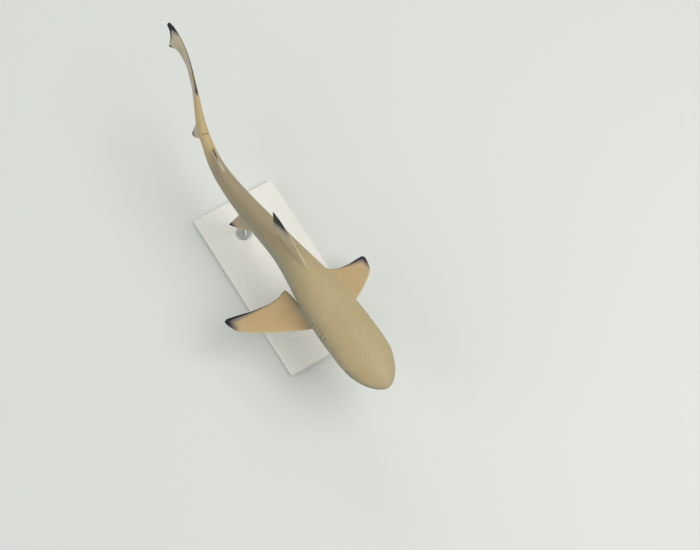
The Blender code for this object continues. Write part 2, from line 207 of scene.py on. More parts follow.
# %% Stations of the body
TOTAL_LENGTH = 0.80
BODY = np.array([
    (0.000, 0.0020, 0.0010, -0.0040, -0.0015, 2.0, 2.0),
    (0.006, 0.0168, 0.0085, -0.0095, -0.0020, 2.0, 2.2),
    (0.018, 0.0300, 0.0155, -0.0135, -0.0025, 2.0, 2.4),
    (0.040, 0.0445, 0.0240, -0.0175, -0.0020, 2.0, 2.6),
    (0.070, 0.0550, 0.0325, -0.0250, 0.0000, 2.1, 2.5),
    (0.110, 0.0595, 0.0405, -0.0350, 0.0000, 2.1, 2.4),
    (0.160, 0.0592, 0.0475, -0.0435, -0.0020, 2.1, 2.3),
    (0.215, 0.0565, 0.0530, -0.0485, -0.0040, 2.1, 2.3),
    (0.270, 0.0505, 0.0555, -0.0510, -0.0050, 2.0, 2.2),
    (0.330, 0.0405, 0.0550, -0.0515, -0.0050, 2.0, 2.1),
    (0.400, 0.0310, 0.0515, -0.0495, -0.0040, 2.0, 2.1),
    (0.480, 0.0268, 0.0455, -0.0435, -0.0020, 2.0, 2.1),
    (0.560, 0.0222, 0.0390, -0.0360, 0.0000, 2.0, 2.0),
    (0.640, 0.0172, 0.0320, -0.0275, 0.0010, 2.0, 2.0),
    (0.692, 0.0143, 0.0262, -0.0210, 0.0020, 2.0, 2.0),
    (0.727, 0.0125, 0.0220, -0.0178, 0.0020, 2.0, 2.0),
    (0.739, 0.0122, 0.0235, -0.0180, 0.0030, 2.0, 1.9),
    (0.770, 0.0103, 0.0318, -0.0180, 0.0110, 1.9, 1.5),
    (0.815, 0.0076, 0.0430, -0.0060, 0.0260, 1.8, 1.1),
    (0.870, 0.0046, 0.0560, 0.0180, 0.0430, 1.7, 1.0),
    (0.915, 0.0030, 0.0680, 0.0390, 0.0570, 1.6, 1.0),
    (0.949, 0.0026, 0.0775, 0.0485, 0.0650, 1.6, 1.0),
    (0.966, 0.0022, 0.0830, 0.0425, 0.0700, 1.6, 1.0),
    (0.978, 0.0018, 0.0868, 0.0625, 0.0760, 1.6, 1.0),
    (0.990, 0.0013, 0.0905, 0.0755, 0.0835, 1.8, 1.5),
    (1.000, 0.0007, 0.0912, 0.0805, 0.0860, 2.0, 2.0),
])
WEB = 0.00028  # half thickness of the thinnest webs, as a share of the length


def through(xs, ys, x):
    """A smooth curve through the points (xs, ys), read at x, that never swings past a point."""
    xs, ys, x = (np.asarray(a, float) for a in (xs, ys, x))
    step = np.diff(xs)
    slope = np.diff(ys) / step
    same_way = slope[:-1] * slope[1:] > 0
    both = np.where(same_way, slope[:-1] + slope[1:], 1.0)
    inner = np.where(same_way, 2 * slope[:-1] * slope[1:] / both, 0.0)
    tangent = np.concatenate([slope[:1], inner, slope[-1:]])
    i = np.clip(np.searchsorted(xs, x) - 1, 0, len(step) - 1)
    t = (x - xs[i]) / step[i]
    rise = ys[i] + (ys[i + 1] - ys[i]) * t * t * (3 - 2 * t)
    return rise + step[i] * t * (1 - t) * (tangent[i] * (1 - t) - tangent[i + 1] * t)


def section(u):
    """Half width, back, belly, widest level and the two fullnesses at stations u. The snout is round, so the
    table is read along the square root of u, which opens the curve there."""
    root = np.sqrt(BODY[:, 0])
    return [through(root, BODY[:, k], np.sqrt(u)) for k in range(1, 7)]


def plain_body(u, angle):
    """The body's surface without its features: stations u, and angles round from the animal's left."""
    half, back, belly, level, above, below = section(u)
    c, s = np.cos(angle), np.sin(angle)
    power = 2 / np.where(s > 0, above, below)
    thin = np.minimum(WEB, half)
    v = np.sign(c) * ((half - thin) * np.abs(c) ** power + thin * np.abs(c) ** 0.4)
    w = level + np.sign(s) * np.where(s > 0, back - level, level - belly) * np.abs(s) ** power
    return np.stack([u + 0 * v, v, w], axis=-1)


print("the trunk is widest at u =", BODY[np.argmax(BODY[:, 1]), 0])

# %% [markdown]
# ## Bending it
#
# The straight axis is laid on a swimming curve, given by how far the body turns towards its right at each
# station. Walking along it in small steps gives the axis's place. The tail fin also leans over as it
# sweeps, so there the section is turned about the back line. A paired fin is stiff, so it turns as a whole
# with the station it grows at.

# %% Swimming curve
# Rows of station and degrees. The rods stand at stations of their own.
CURVE = ((0, 3), (0.20, 3), (0.32, 4), (0.46, 9), (0.60, 3), (0.70, -12), (0.80, -20), (0.88, -18),
         (0.94, -6), (1, 12))
LEAN = ((0, 0), (0.70, 0), (0.78, 10), (0.84, 10), (0.90, 16), (0.96, 42), (0.98, 45), (1, 50))
ROD_STATIONS = {"stand_rod_front": 0.270, "stand_rod_rear": 0.545}

stations = np.linspace(0, 1, 401)
turns = np.radians(through(*zip(*CURVE), stations))
way = np.stack([-np.cos(turns), -np.sin(turns)], axis=1) * TOTAL_LENGTH
axis_line = np.vstack([[0, 0], np.cumsum((way[1:] + way[:-1]) / 2 * stations[1], axis=0)])
axis_line -= [np.interp(np.mean(list(ROD_STATIONS.values())), stations, axis_line[:, k]) for k in (0, 1)]


def bend(points, rigid_at=None):
    """Points (u, v, w) of the straight animal to places in the room. With rigid_at, all turn with that
    station."""
    u, v, w = np.moveaxis(np.asarray(points, float), -1, 0)
    at = np.clip(u, 0, 1) if rigid_at is None else np.full_like(u, rigid_at)
    if rigid_at is None:
        top = through(BODY[:, 0], BODY[:, 2], at)
        lean = np.radians(through(*zip(*LEAN), at))
        below = w - top
        v, w = v * np.cos(lean) + below * np.sin(lean), top - v * np.sin(lean) + below * np.cos(lean)
    x, y, turn = (np.interp(at, stations, a) for a in (axis_line[:, 0], axis_line[:, 1], turns))
    past, side = (u - at) * TOTAL_LENGTH, v * TOTAL_LENGTH
    x = x - np.cos(turn) * past - np.sin(turn) * side
    y = y - np.sin(turn) * past + np.cos(turn) * side
    return np.stack([x, y, AXIS_HEIGHT + w * TOTAL_LENGTH], axis=-1)


for part in ROD_STATIONS:
    print(part, "stands under", bend([(ROD_STATIONS[part], 0, 0)])[0].round(3))

# %% [markdown]
# ## The head's relief
#
# A shark's head isn't a smooth bullet. Lids stand round each eye under a low brow. The gill slits lie under
# flaps like the slats of a shutter, each a little proud in front of its slit. The lips roll along the
# mouth, and a flap guards each nostril. All of these are low, so they are heights added to the hull, worked
# out from distances. The openings themselves are cut later.

# %% Places of the features
EYE_U, EYE_W = 0.073, 0.0050
EYE_SIZE = (0.0108, 0.0090, 0.0090)  # half sizes of the ball
EYE_OUT = 0.0018  # how far it stands proud of the hull
EYE_TURN = math.radians(14)  # towards the snout
LIDS = (0.0075, 0.0061)  # half length and half height of the opening
LID_U = EYE_U - 0.0012  # its middle lies a little ahead of the ball's, because the head narrows there
GILL_U = (0.160, 0.172, 0.184, 0.195, 0.2055)
GILL_ANGLES = ((-40, 28), (-42, 30), (-40, 30), (-24, 28), (-10, 24))
GILL_BOW = 0.0022  # how far a slit's middle bulges towards the tail
GILL_HALF, GILL_DEEP = 0.00085, 0.0044  # half width and depth of a slit at its middle
FLAP_RISE, FLAP_SINK = 0.00105, 0.0009  # the skin stands up in front of a slit and lies low behind it
MOUTH_U, MOUTH_END, MOUTH_HALF = 0.062, 0.104, 0.0365  # station of the middle and of the corners, half width
MOUTH_POWERS = (2.3, 1.3)  # of the curve of the lips, and of that curve's slope
LIPS_HALF, LIPS_DEEP = 0.0010, 0.0060  # half width and depth of the gap between the lips
NOTCH_U = 0.7325  # the notch in front of the tail fin
NOSTRIL = (0.036, 0.0225, -0.0165)
NOSTRIL_SIZE = (0.0019, 0.0056, 0.0040)
NOSTRIL_TURN = math.radians(30)


def hill(x, width):
    return np.exp(-((x / width) ** 2))


def ramp(x, low, high):
    t = np.clip((x - low) / (high - low), 0, 1)
    return t * t * (3 - 2 * t)


def side_angle(angle):
    """An angle round the body as it would be on the left side, so that one rule serves both sides."""
    return np.arctan2(np.sin(angle), np.abs(np.cos(angle)))


def slit_line(k, angle):
    """Station of gill slit k at an angle, in radians, and how far along it that is: 0 middle, 1 end."""
    low, high = np.radians(GILL_ANGLES[k])
    share = (angle - (low + high) / 2) / ((high - low) / 2)
    return GILL_U[k] + GILL_BOW * (1 - share**2), share


def mouth_line(v):
    """Station of the line of the lips at a distance v from the middle."""
    return MOUTH_U + (MOUTH_END - MOUTH_U) * np.abs(v / MOUTH_HALF) ** MOUTH_POWERS[0]


def mouth_slope(v):
    """How fast that line runs back at v."""
    steepest = MOUTH_POWERS[0] * (MOUTH_END - MOUTH_U) / MOUTH_HALF
    return steepest * np.abs(v / MOUTH_HALF) ** MOUTH_POWERS[1]


def relief(u, angle, v, w):
    """Height of the features above the hull, as a share of the length."""
    height = np.zeros_like(u)
    around_eye = np.hypot((u - LID_U) / LIDS[0], (w - EYE_W) / LIDS[1])
    upper = ramp(w - EYE_W, -0.002, 0.004)
    height += (0.00055 + 0.00035 * upper) * hill(around_eye - 1.12, 0.24)  # lids
    height += 0.0007 * upper * hill(around_eye - 1.7, 0.5)  # brow
    height -= 0.0004 * (1 - upper) * hill(around_eye - 1.62, 0.16)  # fold of the lower lid
    height += 0.0004 * (1 - upper) * hill(around_eye - 1.95, 0.25)
    for k in range(len(GILL_U)):
        line, share = slit_line(k, side_angle(angle))
        window = ramp(1.15 - np.abs(share), 0.0, 0.35)
        past = u - line
        front = FLAP_RISE * np.exp(np.minimum(past, 0) / 0.0050) * (past <= 0)
        rear = -FLAP_SINK * np.exp(-np.maximum(past, 0) / 0.0028) * (past > 0)
        height += window * np.where(past > 0, rear, front) * ramp(np.abs(past), 0, 0.0006)
    under = ramp(-w, 0.008, 0.014) * ramp(MOUTH_HALF + 0.004 - np.abs(v), 0, 0.006)
    past = (u - mouth_line(v)) / np.hypot(1, mouth_slope(v))
    height += under * 0.0008 * hill(past + 0.0022, 0.0022)  # upper lip
    set_back = np.exp(-np.maximum(past, 0) / 0.010) * ramp(past, -0.0002, 0.0014)
    height -= under * 0.0015 * set_back  # the jaw lies a little back
    height += under * 0.0007 * hill(past - 0.0030, 0.0018)  # lower lip
    near = np.hypot(u - NOSTRIL[0] + 0.0035, np.abs(v) - NOSTRIL[1] + 0.0045) + (w > -0.004)
    height += 0.0008 * hill(near, 0.0045)  # the flap in front of the nostril
    pit = np.hypot((u - NOTCH_U) / 0.0042, v / 0.0095) + 9 * (w < 0.012)
    height -= 0.0018 * hill(pit, 1.0)  # notch
    return height


def body_surface(u, angle):
    """The body's surface with its features, in the straight animal."""
    base = plain_body(u, angle)
    along = plain_body(u + 2e-4, angle) - plain_body(np.maximum(u - 2e-4, 0), angle)
    around = plain_body(u, angle + 2e-3) - plain_body(u, angle - 2e-3)
    normal = np.cross(around, along)
    normal /= np.maximum(np.linalg.norm(normal, axis=-1, keepdims=True), 1e-12)
    return base + normal * relief(u, angle, base[..., 1], base[..., 2])[..., None]


sample = body_surface(np.array([0.3]), np.array([0.0]))[0]
print("the flank stands out to v =", round(float(sample[1]), 4))

# %% [markdown]
# ## The skin's grid
#
# The surface is sampled at rings. Rings and points sit close where there is something to show, at the eyes,
# gills and mouth, and far apart along the plain trunk, where every second point is dropped. A subdivision
# surface would give smooth skin too, but it would spend as many faces on the trunk as on the eyelids.

# %% Rings and points
def spaced(*runs):
    """Numbers in runs of (start, end, step), each run up to its end but not on it."""
    return np.concatenate([np.linspace(a, b, max(2, round((b - a) / step) + 1))[:-1] for a, b, step in runs])


snout_rings = 0.060 * (np.arange(52) / 52) ** 2.0
head_rings = spaced((0.060, 0.106, 0.00105), (0.106, 0.130, 0.0024), (0.130, 0.232, 0.00145))
trunk_rings = spaced((0.232, 0.715, 0.0046), (0.715, 0.748, 0.0015), (0.748, 0.938, 0.0042),
                     (0.938, 0.970, 0.0012), (0.970, 1.0001, 0.0019))
dense = np.radians(spaced(
    (-30, -8, 2), (-8, 28, 1.2), (28, 152, 4.2), (152, 188, 1.2), (188, 210, 2), (210, 330, 1.5)))
even = np.linspace(dense[0], dense[0] + 2 * math.pi, len(dense) // 2 + 1)[:-1]
TAIL_CAP = ((0.5, 0.0020), (0.87, 0.0036), (1.0, 0.0042))  # past the last station: how far in, how far on


def ring_angles(u):
    """Angles of the points on a trunk ring: those of the head at first, evenly spread further back."""
    share = ramp(u, 0.24, 0.30)
    return dense[::2] * (1 - share) + even * share


front = np.concatenate([snout_rings, head_rings])
print(len(front), "rings of", len(dense), "points on the head")
print(len(trunk_rings), "rings of", len(even), "points behind it")


# %% Mesh building
def mesh_object(name, points, faces, slots=()):
    """A closed mesh object with its faces turned outwards."""
    mesh = bpy.data.meshes.new(name)
    mesh.from_pydata(np.asarray(points).tolist(), [], [tuple(map(int, f)) for f in faces])
    for look in slots:
        mesh.materials.append(look)
    shape = bmesh.new()
    shape.from_mesh(mesh)
    bmesh.ops.remove_doubles(shape, verts=shape.verts, dist=2e-6)
    bmesh.ops.recalc_face_normals(shape, faces=shape.faces)
    shape.to_mesh(mesh)
    shape.free()
    mesh.shade_smooth()
    obj = bpy.data.objects.new(name, mesh)
    bpy.context.collection.objects.link(obj)
    return obj


def bands(counts, closed_start=True, closed_end=True):
    """Faces between rings of the given numbers of points. Where a ring has half as many as the one before it,
    three triangles fill each gap. Each closed end is a fan to one more point, the first or last of all."""
    faces = []
    start = 1 if closed_start else 0
    if closed_start:
        faces += [(0, start + i, start + (i + 1) % counts[0]) for i in range(counts[0])]
    for count, following in zip(counts, counts[1:]):
        after = start + count
        step = count // following
        for i in range(following):
            a, b = start + i * step, start + (i + 1) * step % count
            c, d = after + i, after + (i + 1) % following
            if step == 1:
                faces.append((a, b, d, c))
            else:
                faces += [(a, a + 1, c), (a + 1, b, d), (a + 1, d, c)]
        start = after
    if closed_end:
        last = counts[-1]
        faces += [(start + i, start + last, start + (i + 1) % last) for i in range(last)]
    return faces


# %% [markdown]
# ## What each point of skin knows
#
# The markings follow the anatomy, so every point carries a few distances: how far above the line where the
# back's colour ends, how far inside a black tip or a dark rim, how far behind a fin's front edge. The paint
# reads them as named attributes. An image would do the same with less care, but it would have to be
# unwrapped, and it would blur.

# %% Facts about the body's points
FACTS = ("along", "crown", "flank", "tip", "rim", "smoke", "lead", "fin", "warm", "share", "line")
COLOUR_LINE = ((0, -0.0035), (0.02, -0.0105), (0.05, -0.0135), (0.10, -0.0190), (0.20, -0.0270),
               (0.28, -0.0250), (0.36, -0.0170), (0.43, -0.0115), (0.50, -0.0120), (0.57, -0.0150),
               (0.66, -0.0130), (0.74, -0.0100), (0.80, -0.0300), (1, -0.0300))
LATERAL_LINE = ((0, 0.012), (0.15, 0.020), (0.30, 0.021), (0.50, 0.015), (0.70, 0.006), (0.80, 0.016),
                (1, 0.080))
FAR = -0.1  # a distance that keeps a marking away
MARGIN_U, TIP_U = 0.818, 0.966  # where the upper tail lobe's dark edge and its black tip start


def body_facts(u, points):
    """The facts for points of the body at stations u, as columns in the order of FACTS, lengths in metres."""
    w = points[..., 2]
    _, back, belly, _, _, _ = section(u)
    border = through(*zip(*COLOUR_LINE), u)
    crown = (w - border) / np.maximum(back - border, 0.004)
    below_back = (back - w) * TOTAL_LENGTH
    tip = 0.0060 * ramp(u, TIP_U, 0.988) + 0.0080 * ramp(u, 0.982, 0.996) - below_back + FAR * (u < TIP_U)
    edge = 0.0005 * ramp(u, MARGIN_U, 0.830) + 0.0007 * hill(u - 0.830, 0.0045)
    edge = edge - below_back + FAR * (u < MARGIN_U)
    trailing = 0.0046 - (w - belly) * TOTAL_LENGTH + FAR * (u < 0.9715)
    corner = 0.0034 - np.hypot(u - TIP_U, w - 0.0430) * TOTAL_LENGTH
    rim = np.maximum(np.maximum(edge, trailing), corner)
    smoke = np.maximum(tip + 0.0060, rim + 0.0010)
    fin = ramp(u, 0.810, 0.850)
    line = (w - through(*zip(*LATERAL_LINE), u)) * TOTAL_LENGTH
    lead = below_back + 0.0060 * (1 - ramp(u, 0.78, 0.86))
    columns = [u, crown, (w - border) * TOTAL_LENGTH, tip, rim, smoke, lead, fin, 0.3 * fin, 0 * u, line]
    return np.stack([c + 0 * u for c in columns], axis=-1)


# %% The body
def body_shape():
    points, facts, counts = [], [], []
    for k, u in enumerate(np.concatenate([front, trunk_rings, [1.0]])):
        angles = dense if k < len(front) else ring_angles(u)
        at = np.full(len(angles), u)
        ring = body_surface(at, angles)
        points.append(ring)
        facts.append(body_facts(at, ring))
        counts.append(len(angles))
    last = points[-1]
    middle = last.mean(axis=0)
    for inwards, onwards in TAIL_CAP[:-1]:
        ring = middle + (last - middle) * (1 - inwards**2) ** 0.5 + (onwards, 0, 0)
        points.append(ring)
        facts.append(facts[-1])
        counts.append(len(last))
    snout = points[0].mean(axis=0) - (0.0004, 0, 0)
    end = middle + (TAIL_CAP[-1][1], 0, 0)
    points = np.concatenate([[snout], *points, [end]])
    facts = np.concatenate([facts[0][:1], *facts, facts[-1][:1]])
    return bend(points), facts, bands(counts)


body_points, body_about, body_faces = body_shape()
print(len(body_points), "points on the body")

# %% [markdown]
# ## Fins
#
# A fin is a stack of foil sections, each with a round front and a thin rear edge, from inside the body out
# to the point. Its outline is two curves: how far back the front and the rear edge are at each distance
# out. Close to the body the foil thickens, so that the fin grows out of the flesh instead of standing on
# it.

# %% Outlines of the fins
# base: where the root starts (u, v, w). out, back: the ways out and back. A paired fin has a left and a right
# way out. thick: at the root. rows: how far out, and how far back the front and rear edges are there.
# black: the distance out at which the black tip starts, and how much further out it starts for each step
# back. rim: the dark rear margin's width at the root and at the point, in metres. flank: how far above the
# border of the white belly the upper and the lower face count as being, in metres. warm: how tan the web is.
FINS = {
    "first_dorsal": dict(
        base=(0.297, 0.0, 0.0550), out=[(0, 0.10, 1)], back=(1, -0.050, -0.020), thick=0.0100,
        black=(0.0542, -0.22), rim=(0.0007, 0.0026), flank=(0.03, 0.03), warm=0.45,
        rows=((-0.020, -0.016, 0.088), (0, 0.004, 0.092), (0.004, 0.0150, 0.1180), (0.008, 0.0225, 0.1275),
              (0.014, 0.0330, 0.1290), (0.024, 0.0480, 0.1305), (0.038, 0.0670, 0.1330),
              (0.052, 0.0905, 0.1355), (0.062, 0.1070, 0.1375), (0.068, 0.1180, 0.1385),
              (0.0715, 0.1270, 0.1390))),
    "second_dorsal": dict(
        base=(0.613, 0.0, 0.0340), out=[(0, 0, 1)], back=(1, 0, -0.085), thick=0.0055,
        black=(0.0215, 0.0), rim=(0.0003, 0.0008), flank=(0.03, 0.03), warm=0.2,
        rows=((-0.012, -0.010, 0.045), (0, 0.002, 0.046), (0.003, 0.007, 0.062), (0.006, 0.012, 0.069),
              (0.010, 0.018, 0.063), (0.017, 0.028, 0.057), (0.024, 0.0385, 0.0555), (0.0280, 0.0460, 0.0565),
              (0.0295, 0.0505, 0.0570))),
    "anal": dict(
        base=(0.615, 0.0, -0.0290), out=[(0, 0, -1)], back=(1, 0, 0.095), thick=0.0055,
        black=(0.0270, 0.0), rim=(0.0004, 0.0012), flank=(-0.004, -0.004), warm=0.4,
        rows=((-0.012, -0.010, 0.045), (0, 0.002, 0.046), (0.003, 0.007, 0.064), (0.006, 0.012, 0.074),
              (0.010, 0.018, 0.062), (0.018, 0.029, 0.052), (0.026, 0.040, 0.0525), (0.033, 0.051, 0.058),
              (0.036, 0.0575, 0.061))),
    "caudal_lower": dict(
        base=(0.741, 0.0, -0.0130), out=[(0.37, -0.035, -1)], back=(1, 0, 0.45), thick=0.0100,
        black=(0.0690, 0.0), rim=(0.0004, 0.0012), flank=(0.03, 0.03), warm=0.1,
        rows=((-0.012, -0.004, 0.090), (0, 0.000, 0.076), (0.010, 0.0005, 0.058), (0.025, 0.002, 0.0435),
              (0.045, 0.005, 0.034), (0.060, 0.009, 0.030), (0.070, 0.0125, 0.0275),
              (0.079, 0.0185, 0.0245))),
    "pectoral": dict(
        base=(0.212, 0.0440, -0.0300), out=[(-0.14, 0.80, -0.60), (0, 0.987, -0.156)], back=(1, 0, 0),
        thick=0.0110,
        black=(0.1525, -0.22), rim=(0.0003, 0.0064), flank=(0.03, -0.03), warm=1.0,
        rows=((-0.024, -0.012, 0.052), (0, -0.004, 0.057), (0.003, -0.003, 0.094), (0.006, -0.002, 0.108),
              (0.011, 0.001, 0.1105), (0.030, 0.011, 0.105), (0.050, 0.023, 0.1045), (0.070, 0.0355, 0.1085),
              (0.090, 0.049, 0.113), (0.110, 0.0635, 0.1195), (0.128, 0.077, 0.126), (0.142, 0.0895, 0.1305),
              (0.151, 0.1015, 0.133), (0.1555, 0.115, 0.132))),
    "pelvic": dict(
        base=(0.476, 0.0110, -0.0350), out=[(0, 0.62, -0.78), (0, 0.90, -0.43)], back=(1, -0.06, 0.06),
        thick=0.0060,
        black=(0.0345, 0.0), rim=(0.0003, 0.0015), flank=(0.03, -0.03), warm=0.5,
        rows=((-0.012, -0.006, 0.044), (0, 0, 0.046), (0.004, 0.005, 0.058), (0.008, 0.010, 0.0625),
              (0.016, 0.0205, 0.0625), (0.026, 0.0355, 0.0625), (0.034, 0.0485, 0.0630),
              (0.039, 0.0575, 0.0640))),
}
FIN_TIP = 0.0014  # full thickness towards the point
FLARE = 0.006  # the fairing at the root: extra thickness, and the height it fades over
FIN_STEPS = 26  # from the front edge to the rear edge


def foil(t):
    """Half thickness of a section from front (0) to rear (1), as a share of its greatest."""
    return (0.2969 * np.sqrt(t) - 0.1260 * t - 0.3516 * t**2 + 0.2843 * t**3 - 0.1036 * t**4) / 0.1


def outline(rows):
    """A fin's sections, as (how far out, front edge, rear edge), closer together towards the root and round
    the point. Past the last row both edges curve towards each other, so that the point is round."""
    at, fronts, rears = np.array(rows).T
    tip = at[-1]
    spread = np.linspace(0, 1, 34)
    levels = np.concatenate([np.linspace(at[0], 0, 5)[:-1], tip * (0.62 * spread + 0.38 * spread**2)])
    sections = [(s, float(through(at, fronts, s)), float(through(at, rears, s))) for s in levels]
    chord = rears[-1] - fronts[-1]
    front_slope, rear_slope = ((edge[-1] - edge[-2]) / (at[-1] - at[-2]) for edge in (fronts, rears))
    closing = max(front_slope - rear_slope, 0.1)
    length = min(0.0028, 0.5 * chord / closing)
    left_over = chord - closing * length
    for turn in np.radians((22, 42, 60, 75, 85)):
        past, turned_in = length * math.sin(turn), left_over * (1 - math.cos(turn))
        sections.append((tip + past, fronts[-1] + front_slope * past + 0.7 * turned_in,
                         rears[-1] + (front_slope - closing) * past - 0.3 * turned_in))
    return sections


# %% The fins' shapes
def fin_shape(spec, side, number):
    """Points, facts and faces of one fin. side is 1 left, -1 right, 0 for one on the middle line. The number
    gives each kind of fin its own frayed edge."""
    base, back = (np.array(spec[k], float) for k in ("base", "back"))
    out = np.array(spec["out"][1 if side < 0 else 0], float)
    if side:
        base, out, back = (a * (1, side, 1) for a in (base, out, back))
    out, back = out / np.linalg.norm(out), back / np.linalg.norm(back)
    across = np.cross(out, back)
    across /= np.linalg.norm(across)
    across *= np.sign(across[2]) if side else 1  # towards the upper face
    tip = spec["rows"][-1][0]
    smoke_reach = min(0.0075, 0.12 * tip * TOTAL_LENGTH)
    steps = (1 - np.cos(np.linspace(0, math.pi, FIN_STEPS + 1))) / 2
    sections = outline(spec["rows"])
    points, facts = [], []
    for s, front_edge, rear_edge in sections:
        outside = np.clip(s, 0, tip)
        reach = outside / tip
        thick = FIN_TIP + (spec["thick"] - FIN_TIP) * (1 - reach) ** 1.3 + FLARE * math.exp(-outside / FLARE)
        thick = min(thick, 0.5 * (rear_edge - front_edge))
        half = WEB + (thick / 2 - WEB) * foil(steps)
        half[0] = half[-1] = 0
        frayed = 0.00022 * math.sin(43 * reach + 5 * number) * math.sin(17 * reach + 2)
        frayed *= ramp(reach, 0.05, 0.3) * ramp(1 - reach, 0.0, 0.1)
        along = front_edge + (rear_edge + frayed - front_edge) * steps
        middle = base + s * out + np.outer(along, back)
        above, below = (middle + np.outer(sign * half, across) for sign in (1, -1))
        ring = np.concatenate([above, below[-2:0:-1]])
        along = np.concatenate([along, along[-2:0:-1]])
        upper = np.concatenate([np.ones(FIN_STEPS + 1), -np.ones(FIN_STEPS - 1)])
        start, slope = spec["black"]
        width = spec["rim"][0] + (spec["rim"][1] - spec["rim"][0]) * reach**2.4
        from_rear = (rear_edge - along) * TOTAL_LENGTH
        tip_black = (s - start - slope * (along - front_edge)) * TOTAL_LENGTH
        columns = [
            ring[:, 0],
            np.where(upper < 0, 0.0, 0.6) if side else 0.5,
            np.where(upper < 0, spec["flank"][1], spec["flank"][0]),
            tip_black,
            width - from_rear,
            np.maximum(tip_black + smoke_reach, 2.6 * width - from_rear),
            (along - front_edge) * TOTAL_LENGTH,
            ramp(outside, 0.0, 0.12 * tip),
            spec["warm"],
            np.concatenate([steps, steps[-2:0:-1]]),
            -FAR,
        ]
        points.append(ring)
        facts.append(np.stack([c + 0 * along for c in columns], axis=-1))
    caps = points[0].mean(axis=0), points[-1].mean(axis=0)
    count = len(points[0])
    points = np.concatenate([[caps[0]], *points, [caps[1]]])
    facts = np.concatenate([facts[0][:1], *facts, facts[-1][:1]])
    return bend(points, base[0] if side else None), facts, bands([count] * len(sections))


fin_shapes = {}
for number, (name, spec) in enumerate(FINS.items()):
    for suffix, side in (("_left", 1), ("_right", -1)) if len(spec["out"]) > 1 else (("", 0),):
        fin_shapes[name + suffix] = fin_shape(spec, side, number)
print(len(fin_shapes), "fins, the last with", len(fin_shapes["pelvic_right"][0]), "points")

# %% [markdown]
# ## One skin
#
# The fins are joined to the body with a Boolean union, which leaves a sharp crease round each root. Voxel
# remeshing would round the creases, but it would also eat the thin rear edges. So only the strip of skin
# close to a crease is refined and then relaxed: each point there moves a little towards the mean of its
# neighbours, over and over.

# %% Join the fins to the body
def boolean(target, tools, operation):
    """Applies one exact Boolean with all the tools at once, then removes them."""
    group = bpy.data.collections.new("tools")
    bpy.context.scene.collection.children.link(group)
    for tool in tools:
        group.objects.link(tool)
    cut = target.modifiers.new("cut", "BOOLEAN")
    cut.operation = operation
    cut.solver = "EXACT"
    cut.operand_type = "COLLECTION"
    cut.collection = group
    shaped = bpy.data.meshes.new_from_object(target.evaluated_get(bpy.context.evaluated_depsgraph_get()))
    target.modifiers.clear()
    old, target.data = target.data, shaped
    bpy.data.meshes.remove(old)
    for tool in tools:
        bpy.data.objects.remove(tool)
    bpy.data.collections.remove(group)


skin_look, skin_tree, skin_shader = new_material("shark_skin")
inside_look, inside_tree, inside_shader = new_material("shaded_slit_lining")
skin = mesh_object("shark_skin", body_points, body_faces, (skin_look, inside_look))
fins = []
for name, (points, about, faces) in fin_shapes.items():
    fin = mesh_object(name, points, faces, (skin_look, inside_look))
    for face in fin.data.polygons:
        face.material_index = 1  # marks the fins' faces, so that the crease can be found
    fins.append(fin)
boolean(skin, fins, "UNION")
print(len(skin.data.vertices), "points after joining the fins")

# %% Relax the creases
CREASE_REACH = 0.0075
CREASE_EDGE = 0.0019
FURTHEST = 0.0035  # relaxing moves no point further than this


def crease_edges(shape):
    return [e for e in shape.edges if len({f.material_index for f in e.link_faces}) > 1]


def tree_of(points):
    tree = KDTree(len(points))
    for k, point in enumerate(points):
        tree.insert(point, k)
    tree.balance()
    return tree


shape = bmesh.new()
shape.from_mesh(skin.data)
bmesh.ops.remove_doubles(shape, verts=shape.verts, dist=4e-6)
for _ in range(2):
    crease = tree_of([(e.verts[0].co + e.verts[1].co) / 2 for e in crease_edges(shape)])
    long_edges = [e for e in shape.edges if e.calc_length() > CREASE_EDGE
                  and crease.find((e.verts[0].co + e.verts[1].co) / 2)[2] < CREASE_REACH]
    bmesh.ops.subdivide_edges(shape, edges=long_edges, cuts=1)
    bmesh.ops.triangulate(shape, faces=[f for f in shape.faces if len(f.verts) > 4])
crease = tree_of([v.co for e in crease_edges(shape) for v in e.verts])
shape.verts.ensure_lookup_table()
places = np.array([v.co for v in shape.verts])
distance = np.array([crease.find(v.co)[2] for v in shape.verts])
pairs = np.array([(e.verts[0].index, e.verts[1].index) for e in shape.edges])


def relaxed(values, near, weight, rounds):
    """Values at the points, each drawn towards the mean of its neighbours by its weight."""
    used = pairs[(near[pairs[:, 0]]) | (near[pairs[:, 1]])]
    both = np.concatenate([used, used[:, ::-1]])
    count = np.bincount(both[:, 0], minlength=len(values))
    values = values.copy()
    for _ in range(rounds):
        for k in range(values.shape[1]):
            mean = np.bincount(both[:, 0], values[both[:, 1], k], len(values)) / np.maximum(count, 1)
            values[near, k] += (weight * (mean - values[:, k]))[near]
    return values


near = distance < CREASE_REACH
weight = 0.6 * np.clip(1 - distance / CREASE_REACH, 0, 1)
shift = relaxed(places, near, weight, 24) - places
shift /= 1 + np.linalg.norm(shift, axis=1, keepdims=True) / FURTHEST
for vertex, place in zip(shape.verts, places + shift):
    vertex.co = place
for face in shape.faces:
    face.material_index = 0
    face.smooth = True
shape.to_mesh(skin.data)
shape.free()
furthest = 1000 * np.linalg.norm(shift, axis=1).max()
print("relaxed", int(near.sum()), "points, the furthest by", round(furthest, 2), "mm")

# %% [markdown]
# ## Openings
#
# Eyes, gills, mouth and nostrils are real openings, cut with thin blades and balls that follow the same
# rules as the relief. Each cutter's faces carry the second material, so the walls they leave are lined with
# a dark flesh colour that is also painted shade inside the openings.

# %% Cutters
def loft(name, rings, slots):
    """A closed solid through equal rings of places in the room."""
    caps = rings[0].mean(axis=0), rings[-1].mean(axis=0)
    points = np.concatenate([[caps[0]], *rings, [caps[1]]])
    return mesh_object(name, points, bands([len(rings[0])] * len(rings)), slots)


